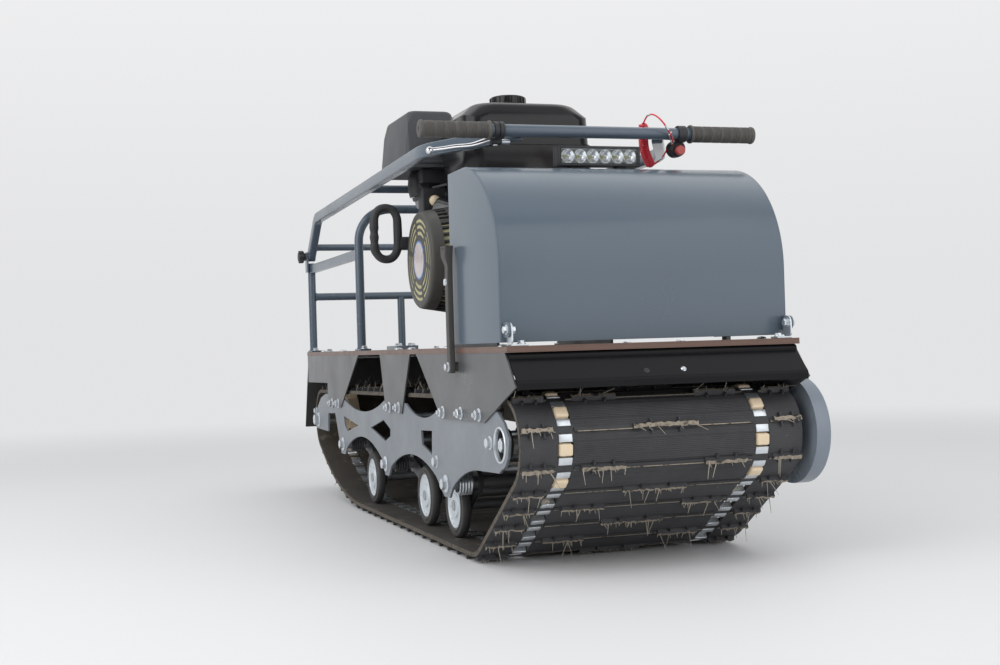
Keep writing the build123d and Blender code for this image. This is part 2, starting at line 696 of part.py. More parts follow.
# Mud flap: rubber sheet clamped under the deck's rear edge
with BuildPart() as mud_flap:
    with BuildSketch(Plane.XZ):
        with BuildLine():
            FilletPolyline(
                (DECK_REAR_X + FLAP_FLANGE, DECK_BOTTOM_Z - FLAP_THICKNESS / 2),
                (DECK_REAR_X - FLAP_OVERHANG, DECK_BOTTOM_Z - FLAP_THICKNESS / 2),
                (FLAP_REAR_X + FLAP_THICKNESS / 2, FLAP_BOTTOM_Z),
                radius=FLAP_BEND_RADIUS,
            )
        trace(line_width=FLAP_THICKNESS)
    extrude(amount=PLATE_OUTER_Y - SEAT_GAP, both=True)
save(mud_flap, "mud_flap")

# Tow hitch: a bored tongue on the deck's rear edge
with BuildPart() as tow_hitch:
    with BuildSketch(Plane.XY.offset(DECK_TOP_Z)):
        with BuildLine():
            hitch_front = Line((HITCH_FRONT_X, HITCH_WIDTH / 2), (HITCH_FRONT_X, -HITCH_WIDTH / 2))
            hitch_right = Line(hitch_front @ 1, (HITCH_BORE_X, -HITCH_WIDTH / 2))
            hitch_tip = (HITCH_BORE_X - HITCH_WIDTH / 2, 0)
            ThreePointArc(hitch_right @ 1, hitch_tip, (HITCH_BORE_X, HITCH_WIDTH / 2))
            Line((HITCH_BORE_X, HITCH_WIDTH / 2), hitch_front @ 0)
        make_face()
        with Locations((HITCH_BORE_X, 0)):
            Circle(HITCH_BORE_RADIUS, mode=Mode.SUBTRACT)
    extrude(amount=HITCH_THICKNESS)
save(tow_hitch, "tow_hitch")

# Rack: posts, crossbar, side rails and the arch behind the engine
with BuildPart() as rack_posts:
    for side_name, side in SIDES:
        add(round_bar((POST_X, side * RACK_Y, DECK_TOP_Z), (POST_X, side * RACK_Y, POST_TOP_Z), TUBE_RADIUS))
        with Locations((POST_X, side * (RACK_Y + TUBE_RADIUS / 2), POST_TOP_Z - PIVOT_EAR_REACH / 2)):
            Box(TUBE_RADIUS, TUBE_RADIUS, PIVOT_EAR_REACH)
        with BuildSketch(side_plane(side * (RACK_Y + TUBE_RADIUS))):
            with Locations((POST_X, (POST_TOP_Z + PIVOT_Z - PIVOT_EAR_REACH) / 2)):
                Rectangle(2 * PIVOT_EAR_RADIUS, PIVOT_Z - POST_TOP_Z + PIVOT_EAR_REACH)
            with Locations((POST_X, PIVOT_Z)):
                Circle(PIVOT_EAR_RADIUS)
                Circle(PIVOT_BOLT_RADIUS + SEAT_GAP, mode=Mode.SUBTRACT)
        extrude(amount=-side * PIVOT_EAR_THICKNESS)
save(rack_posts, "rack_posts")

with BuildPart() as rack_crossbar:
    add(round_bar((POST_X, -RACK_Y + TUBE_RADIUS, CROSSBAR_Z), (POST_X, RACK_Y - TUBE_RADIUS, CROSSBAR_Z),
                  TUBE_RADIUS))
    add(round_bar((POST_X, 0, DECK_TOP_Z + HITCH_THICKNESS), (POST_X, 0, CROSSBAR_Z), TUBE_RADIUS))
save(rack_crossbar, "rack_crossbar")

with BuildPart() as rack_arch:
    with BuildLine() as arch_line:
        FilletPolyline(
            (ARCH_X, -RACK_Y, DECK_TOP_Z),
            (ARCH_X, -RACK_Y, ARCH_TOP_Z - TUBE_RADIUS),
            (ARCH_X, RACK_Y, ARCH_TOP_Z - TUBE_RADIUS),
            (ARCH_X, RACK_Y, DECK_TOP_Z),
            radius=ARCH_BEND_RADIUS,
        )
    with BuildSketch(Plane.XY.offset(DECK_TOP_Z)):
        with Locations((ARCH_X, -RACK_Y)):
            Circle(TUBE_RADIUS)
    sweep(path=arch_line.wire())
save(rack_arch, "rack_arch")

with BuildPart() as rack_rails:
    rail_start_x = POST_X + TUBE_RADIUS
    rail_end_x = ARCH_X - TUBE_RADIUS
    for side_name, side in SIDES:
        with Locations(((rail_start_x + rail_end_x) / 2, side * RACK_Y, RAIL_Z - RAIL_HEIGHT / 2)):
            Box(rail_end_x - rail_start_x, RAIL_WIDTH, RAIL_HEIGHT)
save(rack_rails, "rack_rails")

# Hood hinge brackets on the deck, with the hinge bolts
bracket_y = HINGE_OUTER_Y - HINGE_EAR_THICKNESS - SEAT_GAP
with BuildPart() as hinge_brackets:
    for side_name, side in SIDES:
        with BuildSketch(side_plane(side * (bracket_y - HINGE_EAR_THICKNESS))):
            with Locations((HINGE_X, HINGE_Z)):
                Circle(HINGE_EAR_RADIUS)
            with Locations((HINGE_X, (HINGE_Z + DECK_TOP_Z) / 2)):
                Rectangle(2 * HINGE_EAR_RADIUS, HINGE_Z - DECK_TOP_Z)
        extrude(amount=-side * HINGE_EAR_THICKNESS)
        with BuildSketch(Plane.XY.offset(DECK_TOP_Z)):
            with Locations((HINGE_X, side * (bracket_y - HINGE_FOOT / 2))):
                Rectangle(2 * HINGE_EAR_RADIUS, HINGE_FOOT)
        extrude(amount=HINGE_EAR_THICKNESS)
        with BuildSketch(side_plane(side * (bracket_y - HINGE_EAR_THICKNESS - HINGE_BOLT_HEAD))):
            with Locations((HINGE_X, HINGE_Z)):
                Circle(HINGE_BOLT_RADIUS)
        extrude(amount=-side * (2 * HINGE_EAR_THICKNESS + 2 * HINGE_BOLT_HEAD + SEAT_GAP))
save(hinge_brackets, "hinge_brackets")

# Rubber strap latches beside the hood
with BuildPart() as strap_latches:
    for side_name, side in SIDES:
        with BuildSketch(side_plane(side * STRAP_INNER_Y)):
            with Locations((STRAP_X, (STRAP_BOTTOM_Z + STRAP_TOP_Z) / 2)):
                SlotOverall(STRAP_TOP_Z - STRAP_BOTTOM_Z, STRAP_WIDTH, rotation=90)
        extrude(amount=-side * STRAP_THICKNESS)
        with BuildSketch(side_plane(side * STRAP_INNER_Y)):
            with Locations((STRAP_X, STRAP_TOP_Z - STRAP_GRIP_HEIGHT / 2)):
                RectangleRounded(STRAP_GRIP_WIDTH, STRAP_GRIP_HEIGHT, STRAP_GRIP_HEIGHT / 3)
        extrude(amount=-side * STRAP_GRIP_THICKNESS)
        with BuildSketch(side_plane(side * SKIRT_OUTER_Y)):
            with Locations((STRAP_X, STRAP_BOTTOM_Z + STRAP_WIDTH / 2)):
                Circle(STRAP_BOSS_RADIUS)
        extrude(amount=-side * (STRAP_INNER_Y - SKIRT_OUTER_Y))
save(strap_latches, "strap_latches")

# Engine stand: an upturned channel on the deck
with BuildPart() as engine_stand:
    with BuildSketch(Plane.YZ.offset(CRANK_X)):
        with Locations((0, DECK_TOP_Z + STAND_HEIGHT / 2)):
            Rectangle(STAND_WIDTH, STAND_HEIGHT)
        with Locations((0, DECK_TOP_Z + (STAND_HEIGHT - STAND_THICKNESS) / 2)):
            Rectangle(STAND_WIDTH - 2 * STAND_THICKNESS, STAND_HEIGHT - STAND_THICKNESS, mode=Mode.SUBTRACT)
    extrude(amount=STAND_LENGTH / 2, both=True)
save(engine_stand, "engine_stand")

# Engine block: crankcase and the leaning cylinder with its head
with BuildPart() as engine_block:
    with BuildSketch(Plane.XZ.offset(-CRANKCASE_LEFT_Y)):
        with BuildLine():
            Polyline(
                (CRANK_X - CRANKCASE_LENGTH / 2, STAND_TOP_Z),
                (CRANK_X + CRANKCASE_LENGTH / 2, STAND_TOP_Z),
                (CRANK_X + CRANKCASE_LENGTH / 2, CRANKCASE_TOP_Z),
                (CRANK_X - CRANKCASE_LENGTH / 2, CRANKCASE_TOP_Z),
                close=True,
            )
        make_face()
    extrude(amount=CRANKCASE_LEFT_Y - CRANKCASE_RIGHT_Y)
    cylinder_plane = Plane(
        origin=(CRANK_X, 0, CRANK_Z),
        x_dir=(0, 1, 0),
        z_dir=(-cos(radians(CYLINDER_TILT)), 0, sin(radians(CYLINDER_TILT))),
    )
    slices = [(0, HEAD_START, CYLINDER_WALL_INSET), (HEAD_START, HEAD_THICKNESS, 0)]
    slices.append((HEAD_START, CYLINDER_LENGTH - HEAD_START, ROCKER_INSET))
    slices += [(FIN_START + fin * FIN_PITCH, FIN_THICKNESS, 0) for fin in range(FIN_COUNT)]
    for along, thickness, inset in slices:
        with BuildSketch(cylinder_plane.offset(along)):
            Rectangle(CYLINDER_WIDTH - 2 * inset, CYLINDER_HEIGHT - 2 * inset)
        extrude(amount=thickness)
    for radius, depth in ((SHAFT_COVER_RADIUS, SHAFT_COVER_DEPTH), (SHAFT_BOSS_RADIUS, SHAFT_BOSS_DEPTH)):
        with BuildSketch(side_plane(CRANKCASE_LEFT_Y)):
            with Locations((CRANK_X, CRANK_Z)):
                Circle(radius)
        extrude(amount=-depth)
save(engine_block, "engine_block")

with BuildPart() as fan_shroud:
    with BuildSketch(side_plane(CRANKCASE_RIGHT_Y)):
        with Locations((CRANK_X, CRANK_Z)):
            Circle(SHROUD_RADIUS)
        with Locations((CRANK_X - DUCT_REACH, CRANK_Z + DUCT_RISE)):
            Circle(DUCT_RADIUS)
        make_hull()
    extrude(amount=SHROUD_DEPTH)
save(fan_shroud, "fan_shroud")

recoil_inner_y = CRANKCASE_RIGHT_Y - SHROUD_DEPTH
with BuildPart() as recoil_cover:
    with BuildSketch(side_plane(recoil_inner_y)):
        with Locations((CRANK_X, CRANK_Z)):
            Circle(RECOIL_RADIUS)
    extrude(amount=RECOIL_DEPTH, taper=RECOIL_TAPER)
    fillet(recoil_cover.faces().sort_by(Axis.Y)[0].edges(), RECOIL_EDGE_RADIUS)
save(recoil_cover, "recoil_cover")

# Starter handle: a closed pull loop whose tab rests against the recoil cover
tab_drop = HANDLE_TAB_Z - HANDLE_TAB_HEIGHT / 2 - CRANK_Z
tab_inner_y = HANDLE_Y + HANDLE_WIDTH / 2 + HANDLE_TAB_LENGTH
tab_radius = RECOIL_RADIUS - (recoil_inner_y - tab_inner_y) * tan(radians(RECOIL_TAPER))
handle_x = CRANK_X - sqrt(tab_radius**2 - tab_drop**2) - SEAT_GAP
with BuildPart() as starter_handle:
    with BuildSketch(Plane.YZ.offset(handle_x - HANDLE_THICKNESS)):
        with Locations((HANDLE_Y, HANDLE_Z)):
            RectangleRounded(HANDLE_WIDTH, HANDLE_HEIGHT, HANDLE_CORNER_RADIUS)
            RectangleRounded(HANDLE_WIDTH - 2 * HANDLE_BAR, HANDLE_HEIGHT - 2 * HANDLE_BAR,
                             HANDLE_CORNER_RADIUS - HANDLE_BAR, mode=Mode.SUBTRACT)
        with Locations((HANDLE_Y + (HANDLE_WIDTH - HANDLE_BAR + HANDLE_TAB_LENGTH) / 2, HANDLE_TAB_Z)):
            Rectangle(HANDLE_TAB_LENGTH + HANDLE_BAR, HANDLE_TAB_HEIGHT)
    extrude(amount=HANDLE_THICKNESS)
save(starter_handle, "starter_handle")

# Fuel tank on four legs, and its cap
with BuildPart() as fuel_tank:
    with BuildSketch(Plane.XY.offset(TANK_BOTTOM_Z)):
        with Locations((TANK_X, TANK_Y)):
            RectangleRounded(TANK_LENGTH, TANK_WIDTH, TANK_CORNER_RADIUS)
    extrude(amount=TANK_HEIGHT - TANK_SHOULDER)
    for level, inset in ((TANK_TOP_Z - TANK_SHOULDER, 0), (TANK_TOP_Z, TANK_SHOULDER_INSET)):
        with BuildSketch(Plane.XY.offset(level)):
            with Locations((TANK_X, TANK_Y)):
                RectangleRounded(TANK_LENGTH - inset, TANK_WIDTH - 2 * inset, TANK_CORNER_RADIUS)
    loft()
    fillet(fuel_tank.faces().sort_by(Axis.Z)[-1].edges(), TANK_EDGE_RADIUS)
    for leg_x in TANK_LEG_X:
        for leg_y in (-TANK_LEG_Y, TANK_LEG_Y):
            with BuildSketch(Plane.XY.offset(CRANKCASE_TOP_Z)):
                with Locations((leg_x, leg_y)):
                    Rectangle(TANK_LEG_SIZE, TANK_LEG_SIZE)
            extrude(amount=TANK_BOTTOM_Z - CRANKCASE_TOP_Z)
save(fuel_tank, "fuel_tank")

with BuildPart() as tank_cap:
    with BuildSketch(Plane.XY.offset(TANK_TOP_Z)):
        with Locations((TANK_X, CAP_Y)):
            Circle(CAP_RADIUS)
    extrude(amount=CAP_HEIGHT)
    fillet(tank_cap.faces().sort_by(Axis.Z)[-1].edges(), CAP_EDGE_RADIUS)
save(tank_cap, "tank_cap")

# Air filter box on its carburettor, and the silencer on the other side of the head
filter_middle = ((FILTER_FRONT_X + FILTER_REAR_X) / 2, (FILTER_OUTER_Y + FILTER_INNER_Y) / 2)
filter_length = FILTER_FRONT_X - FILTER_REAR_X
filter_width = FILTER_INNER_Y - FILTER_OUTER_Y
with BuildPart() as air_filter:
    with BuildSketch(Plane.XY.offset(FILTER_BOTTOM_Z)):
        with Locations(filter_middle):
            RectangleRounded(filter_length, filter_width, FILTER_CORNER_RADIUS)
    extrude(amount=FILTER_HEIGHT - FILTER_LID)
    for level, inset in ((FILTER_TOP_Z - FILTER_LID, 0), (FILTER_TOP_Z, FILTER_LID_INSET)):
        with BuildSketch(Plane.XY.offset(level)):
            with Locations(filter_middle):
                RectangleRounded(filter_length - 2 * inset, filter_width - 2 * inset, FILTER_CORNER_RADIUS)
    loft()
    fillet(air_filter.faces().sort_by(Axis.Z)[-1].edges(), FILTER_TOP_RADIUS)
save(air_filter, "air_filter")

head_y = CYLINDER_WIDTH / 2
with BuildPart() as carburettor:
    with BuildSketch(Plane.XY.offset(CARBURETTOR_BOTTOM_Z)):
        with Locations((CARBURETTOR_X, -head_y - CARBURETTOR_WIDTH / 2)):
            Rectangle(CARBURETTOR_LENGTH, CARBURETTOR_WIDTH)
    extrude(amount=FILTER_BOTTOM_Z - CARBURETTOR_BOTTOM_Z)
save(carburettor, "carburettor")

with BuildPart() as silencer:
    with BuildSketch(Plane.XY.offset(CRANKCASE_TOP_Z)):
        with Locations((SILENCER_X, head_y + SILENCER_WIDTH / 2)):
            Rectangle(SILENCER_LENGTH, SILENCER_WIDTH)
    extrude(amount=SILENCER_HEIGHT)
    fillet(silencer.edges().filter_by(Axis.Y), SILENCER_RADIUS)
save(silencer, "silencer")

# Hood: a bent sheet with two flat cheeks, open below and behind, on two hinge ears
hood_bottom_z = DECK_TOP_Z + MOVE_GAP


def hood_outline(inset):
    """Side view of the hood, moved inwards by this much at the front and top."""
    front_x = HOOD_FRONT_X - inset
    top_z = HOOD_TOP_Z - inset
    radius = HOOD_RADIUS - inset
    with BuildLine() as outline:
        Polyline((front_x - radius, top_z), (HOOD_REAR_X, top_z), (HOOD_REAR_X, hood_bottom_z),
                 (front_x, hood_bottom_z), (front_x, top_z - radius))
        RadiusArc((front_x, top_z - radius), (front_x - radius, top_z), -radius)
    return outline.line


with BuildPart() as hood:
    with BuildSketch(Plane.XZ):
        with BuildLine():
            add(hood_outline(0))
        make_face()
    extrude(amount=HOOD_WIDTH / 2, both=True)
    with BuildSketch(Plane.XZ):
        with BuildLine():
            add(hood_outline(HOOD_SHEET))
        make_face()
    extrude(amount=HOOD_WIDTH / 2 - HOOD_SHEET, both=True, mode=Mode.SUBTRACT)
    for side_name, side in SIDES:
        with BuildSketch(side_plane(side * (HINGE_OUTER_Y - HINGE_EAR_THICKNESS))):
            with Locations((HINGE_X, HINGE_Z)):
                Circle(HINGE_EAR_RADIUS)
            with Locations(((HINGE_X + HOOD_FRONT_X - HOOD_SHEET) / 2, HINGE_Z)):
                Rectangle(HINGE_X - HOOD_FRONT_X + HOOD_SHEET, 2 * HINGE_EAR_RADIUS)
            with Locations((HINGE_X, HINGE_Z)):
                Circle(HINGE_BOLT_RADIUS + SEAT_GAP, mode=Mode.SUBTRACT)
        extrude(amount=-side * HINGE_EAR_THICKNESS)
save(hood, "hood")

# Lamp bar: housing on two feet, with a clear front
lamp_bottom_z = HOOD_TOP_Z + LAMP_FOOT_HEIGHT
lamp_z = lamp_bottom_z + LAMP_HEIGHT / 2
with BuildPart() as lamp_bar:
    with BuildSketch(Plane.YZ.offset(LAMP_X - LAMP_DEPTH / 2)):
        with Locations((0, lamp_z)):
            RectangleRounded(LAMP_LENGTH, LAMP_HEIGHT, LAMP_CORNER_RADIUS)
    extrude(amount=LAMP_DEPTH)
    for foot_y in (-LAMP_FOOT_Y, LAMP_FOOT_Y):
        with Locations((LAMP_X, foot_y, HOOD_TOP_Z + LAMP_FOOT_HEIGHT / 2)):
            Box(LAMP_FOOT_SIZE, LAMP_FOOT_SIZE, LAMP_FOOT_HEIGHT)
save(lamp_bar, "lamp_bar")

with BuildPart() as lamp_lens:
    with BuildSketch(Plane.YZ.offset(LAMP_X + LAMP_DEPTH / 2)):
        with Locations((0, lamp_z)):
            RectangleRounded(LAMP_LENGTH - 2 * LAMP_CORNER_RADIUS, LAMP_HEIGHT - 2 * LAMP_CORNER_RADIUS,
                             LAMP_CORNER_RADIUS)
    extrude(amount=LAMP_LENS_DEPTH)
save(lamp_lens, "lamp_lens")

# Tiller: two bent rails with crossbars, hinged on the rear posts
rail_y = RACK_Y
toe_in = atan2(rail_y - TILLER_FRONT_Y, BAR_X - TILLER_FRONT_BEND_X)
tiller_front_x = BAR_X - BAR_RADIUS - SEAT_GAP - TILLER_TUBE_WIDTH / 2 * sin(toe_in)
with BuildPart() as tiller_frame:
    for side_name, side in SIDES:
        with BuildSketch(side_plane(side * (rail_y - TILLER_TUBE_WIDTH / 2))):
            with BuildLine():
                FilletPolyline(
                    (POST_X, PIVOT_Z),
                    (TILLER_REAR_BEND_X, TILLER_REAR_BEND_Z),
                    (TILLER_FRONT_BEND_X, TILLER_FRONT_Z),
                    radius=TILLER_BEND_RADIUS,
                )
            trace(line_width=TILLER_TUBE_HEIGHT)
            with Locations((POST_X, PIVOT_Z)):
                Circle(TILLER_TUBE_HEIGHT / 2)
        extrude(amount=-side * (TILLER_TUBE_WIDTH - SEAT_GAP))
        with BuildSketch(Plane.XY.offset(TILLER_FRONT_Z - TILLER_TUBE_HEIGHT / 2)):
            with BuildLine():
                Line((TILLER_FRONT_BEND_X - TILLER_TUBE_WIDTH / 4, side * rail_y),
                     (tiller_front_x, side * TILLER_FRONT_Y))
            trace(line_width=TILLER_TUBE_WIDTH)
        extrude(amount=TILLER_TUBE_HEIGHT)
    for bar_x, bar_z in ((LOWER_CROSSBAR_X, LOWER_CROSSBAR_Z), (UPPER_CROSSBAR_X, UPPER_CROSSBAR_Z)):
        inner_y = rail_y - TILLER_TUBE_WIDTH / 4
        add(round_bar((bar_x, -inner_y, bar_z), (bar_x, inner_y, bar_z), CROSSBAR_RADIUS))
save(tiller_frame, "tiller_frame")

with BuildPart() as handlebar:
    add(round_bar((BAR_X, -BAR_HALF_LENGTH + GRIP_WALL, BAR_Z), (BAR_X, BAR_HALF_LENGTH - GRIP_WALL, BAR_Z),
                  BAR_RADIUS))
save(handlebar, "handlebar")

with BuildPart() as grips:
    for side_name, side in SIDES:
        with BuildSketch(side_plane(side * GRIP_INNER_Y)):
            with Locations((BAR_X, BAR_Z)):
                Circle(GRIP_RADIUS)
                Circle(BAR_RADIUS + SEAT_GAP, mode=Mode.SUBTRACT)
        extrude(amount=-side * (GRIP_LENGTH - GRIP_WALL))
        with BuildSketch(side_plane(side * (BAR_HALF_LENGTH - GRIP_WALL))):
            with Locations((BAR_X, BAR_Z)):
                Circle(GRIP_RADIUS)
        extrude(amount=-side * GRIP_WALL)
save(grips, "grips")

# Pivot knobs: bolts through the post ears into the tiller's rails
ear_outer_y = RACK_Y + TUBE_RADIUS + PIVOT_EAR_THICKNESS
with BuildPart() as pivot_knobs:
    for side_name, side in SIDES:
        knob_y = ear_outer_y + SEAT_GAP
        with BuildSketch(side_plane(side * (rail_y + TILLER_TUBE_WIDTH / 2 - SEAT_GAP))):
            with Locations((POST_X, PIVOT_Z)):
                Circle(PIVOT_BOLT_RADIUS)
        extrude(amount=-side * (knob_y - rail_y - TILLER_TUBE_WIDTH / 2 + SEAT_GAP))
        with BuildSketch(side_plane(side * knob_y)):
            with Locations((POST_X, PIVOT_Z)):
                Circle(KNOB_RADIUS)
        extrude(amount=-side * KNOB_LENGTH)
save(pivot_knobs, "pivot_knobs")

# Brake lever and its clamp, under the right grip
with BuildPart() as brake_lever:
    with BuildSketch(side_plane(-LEVER_CLAMP_Y)):
        with Locations((BAR_X, BAR_Z)):
            Circle(GRIP_RADIUS)
            Circle(BAR_RADIUS + SEAT_GAP, mode=Mode.SUBTRACT)
    extrude(amount=LEVER_CLAMP_WIDTH)
    lever_root = (LEVER_X, -LEVER_CLAMP_Y - LEVER_CLAMP_WIDTH / 2, LEVER_ROOT_Z)
    add(round_bar(lever_root, (LEVER_X, -LEVER_TIP_Y, LEVER_TIP_Z), LEVER_RADIUS))
    with Locations(lever_root):
        Box(LEVER_CLAMP_WIDTH, LEVER_CLAMP_WIDTH, LEVER_CLAMP_WIDTH)
save(brake_lever, "brake_lever")

# Stop switch under the left half of the bar, its button facing forward
with BuildPart() as stop_switch:
    with BuildSketch(side_plane(SWITCH_Y - SWITCH_CLAMP_WIDTH / 2)):
        with Locations((BAR_X, BAR_Z)):
            Circle(GRIP_RADIUS)
            Circle(BAR_RADIUS + SEAT_GAP, mode=Mode.SUBTRACT)
    extrude(amount=-SWITCH_CLAMP_WIDTH)
    with BuildSketch(Plane.YZ.offset(SWITCH_REAR_X)):
        with Locations((SWITCH_Y, SWITCH_Z)):
            Circle(SWITCH_RADIUS)
    extrude(amount=BAR_X - BAR_RADIUS - SWITCH_REAR_X - SEAT_GAP)
    with BuildSketch(Plane.YZ.offset(SWITCH_REAR_X)):
        with Locations((SWITCH_Y, SWITCH_Z - SWITCH_BUTTON_DROP)):
            Circle(SWITCH_BUTTON_RADIUS)
    extrude(amount=SWITCH_BUTTON_X - SWITCH_REAR_X)
save(stop_switch, "stop_switch")


def cord_tube(offsets, radius):
    """Tube along straight runs joined by arcs as large as the runs allow."""
    corners = [Vector(BAR_X, SWITCH_Y, BAR_Z) + Vector(*offset) for offset in offsets]
    radii = []
    for before, corner, after in zip(corners, corners[1:], corners[2:]):
        run_in = corner - before
        run_out = after - corner
        turn = radians(run_in.get_angle(run_out))
        radii.append(0.45 * min(run_in.length, run_out.length) / tan(turn / 2))
    with BuildPart() as tube:
        with BuildLine() as route:
            FilletPolyline(*corners, radius=radii)
        with BuildSketch(Plane(origin=corners[0], z_dir=corners[1] - corners[0])):
            Circle(radius)
        sweep(path=route.wire())
    return tube.part


with BuildPart() as lanyard_coil:
    add(cord_tube(COIL_POINTS, COIL_RADIUS))
save(lanyard_coil, "lanyard_coil")

LEADS = (
    ("lanyard_lower_lead", LOWER_LEAD_POINTS),
    ("lanyard_upper_lead", UPPER_LEAD_POINTS),
)
for lead_name, lead_points in LEADS:
    with BuildPart() as lead:
        add(cord_tube(lead_points, LEAD_RADIUS))
    save(lead, lead_name)
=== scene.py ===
"""Looks of the tracked snow tug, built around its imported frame.

Metres. +X points forward, +Y to the left and +Z up, as in the part's source.
"""

import random
from math import asin, atan2, cos, hypot, pi, radians, sin, tan

import bmesh
import bpy
from mathutils import Matrix, Quaternion, Vector


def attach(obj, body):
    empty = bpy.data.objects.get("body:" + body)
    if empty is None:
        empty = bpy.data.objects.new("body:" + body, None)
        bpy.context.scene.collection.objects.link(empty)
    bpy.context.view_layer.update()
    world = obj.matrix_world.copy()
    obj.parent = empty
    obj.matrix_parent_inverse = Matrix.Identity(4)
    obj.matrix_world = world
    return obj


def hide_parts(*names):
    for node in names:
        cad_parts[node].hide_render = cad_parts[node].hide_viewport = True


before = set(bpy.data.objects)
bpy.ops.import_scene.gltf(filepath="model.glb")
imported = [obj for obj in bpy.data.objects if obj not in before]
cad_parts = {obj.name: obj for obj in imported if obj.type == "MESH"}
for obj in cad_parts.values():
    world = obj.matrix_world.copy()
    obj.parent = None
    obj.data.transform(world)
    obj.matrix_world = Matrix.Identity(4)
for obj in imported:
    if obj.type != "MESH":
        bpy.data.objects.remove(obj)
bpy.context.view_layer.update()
scene = bpy.context.scene
scene.view_settings.view_transform = "Standard"

# Camera: it stands off the front right corner at knee height, looks a touch upwards
# and leans a little, as in the photograph.
CAMERA_PLACE = (2.9389, -0.9581, 0.3726)
CAMERA_YAW = radians(18.386)
CAMERA_RISE = radians(0.56)
CAMERA_LEAN = radians(-1.723)
camera_data = bpy.data.cameras.new("camera")
camera_data.lens = 50.46
camera_data.sensor_width = 36
camera = bpy.data.objects.new("camera", camera_data)
view_line = Vector((
    -cos(CAMERA_YAW) * cos(CAMERA_RISE),
    sin(CAMERA_YAW) * cos(CAMERA_RISE),
    sin(CAMERA_RISE),
))
camera.rotation_mode = "QUATERNION"
camera.rotation_quaternion = view_line.to_track_quat("-Z", "Y") @ Quaternion((0, 0, 1), CAMERA_LEAN)
camera.location = CAMERA_PLACE
scene.collection.objects.link(camera)
scene.camera = camera

# Studio: a plain pale floor and backdrop, one large soft box on the machine's right,
# one overhead and one in front.
FLOOR_TONES = ((0.755, 0.755, 0.76, 1), (0.80, 0.80, 0.805, 1))
FLOOR_RADIUS = 14
FADE_FROM = 1.5
FADE_TO = 5.0
SKY_COLOUR = (0.97, 0.985, 1.0, 1)
SKY_LIGHT = 0.56
SKY_LOW = (0.765, 0.77, 0.78, 1)
SKY_HIGH = (0.875, 0.88, 0.885, 1)
ROOM_TONE = (0.20, 0.21, 0.225, 1)
BACKDROP_SIDE = (-0.94, 0.31, 0.12)
# Soft boxes: name, place, size, power, the point that it faces
LAMPS = (
    ("soft_box_right", (1.2, -3.4, 2.3), 3.8, 90, (0.1, 0, 0.35)),
    ("soft_box_top", (0.2, 0.3, 3.6), 4.6, 36, (0.2, 0, 0.3)),
    ("soft_box_front", (3.6, 1.6, 1.9), 3.6, 50, (0.4, 0, 0.3)),
)


def add_node(tree, kind, values=None, **settings):
    """Shader node with these settings and these values at its inputs."""
    node = tree.nodes.new("ShaderNode" + kind)
    for name, setting in settings.items():
        setattr(node, name, setting)
    for socket, value in (values or {}).items():
        node.inputs[socket].default_value = value
    return node


def wire(tree, *routes):
    """Link nodes. A route is a node, its output, the next node and its input."""
    for source, output, target, socket in routes:
        tree.links.new(source.outputs[output], target.inputs[socket])


bm = bmesh.new()
bmesh.ops.create_circle(bm, cap_ends=True, segments=64, radius=FLOOR_RADIUS)
floor_mesh = bpy.data.meshes.new("floor")
bm.to_mesh(floor_mesh)
bm.free()
floor = bpy.data.objects.new("floor", floor_mesh)
scene.collection.objects.link(floor)
floor_paint = bpy.data.materials.new("floor_paint")
floor_paint.use_nodes = True
tree = floor_paint.node_tree
floor_shader = tree.nodes["Principled BSDF"]
floor_shader.inputs["Roughness"].default_value = 0.6
place = add_node(tree, "TexCoord")
cloud = add_node(tree, "TexNoise", {"Scale": 0.7})
tone = add_node(tree, "Mix", {"A": FLOOR_TONES[0], "B": FLOOR_TONES[1]}, data_type="RGBA")
# Far from the machine the floor goes over into the backdrop's own tone, so no horizon shows
far_off = add_node(tree, "VectorMath", operation="LENGTH")
fade = add_node(tree, "MapRange", {"From Min": FADE_FROM, "From Max": FADE_TO},
                interpolation_type="SMOOTHSTEP")
ray = add_node(tree, "LightPath")
seen = add_node(tree, "Math", operation="MAXIMUM")
fade_seen = add_node(tree, "Math", operation="MULTIPLY")
backdrop = add_node(tree, "Emission", {"Color": SKY_LOW})
floor_or_sky = add_node(tree, "MixShader")
wire(
    tree,
    (place, "Object", cloud, "Vector"),
    (cloud, "Fac", tone, "Factor"),
    (tone, "Result", floor_shader, "Base Color"),
    (place, "Object", far_off, 0),
    (far_off, "Value", fade, "Value"),
    (ray, "Is Camera Ray", seen, 0),
    (ray, "Is Glossy Ray", seen, 1),
    (fade, "Result", fade_seen, 0),
    (seen, 0, fade_seen, 1),
    (fade_seen, 0, floor_or_sky, "Fac"),
    (floor_shader, 0, floor_or_sky, 1),
    (backdrop, 0, floor_or_sky, 2),
    (floor_or_sky, 0, tree.nodes["Material Output"], "Surface"),
)
floor_mesh.materials.append(floor_paint)

sky = bpy.data.worlds.new("sky")
scene.world = sky
sky.use_nodes = True
tree = sky.node_tree
lit_sky = tree.nodes["Background"]
lit_sky.inputs["Color"].default_value = SKY_COLOUR
lit_sky.inputs["Strength"].default_value = SKY_LIGHT
seen_sky = add_node(tree, "Background")
place = add_node(tree, "TexCoord")
split = add_node(tree, "SeparateXYZ")
climb = add_node(tree, "MapRange", {"From Max": 0.35}, interpolation_type="SMOOTHSTEP")
tone = add_node(tree, "Mix", {"A": SKY_LOW, "B": SKY_HIGH}, data_type="RGBA")
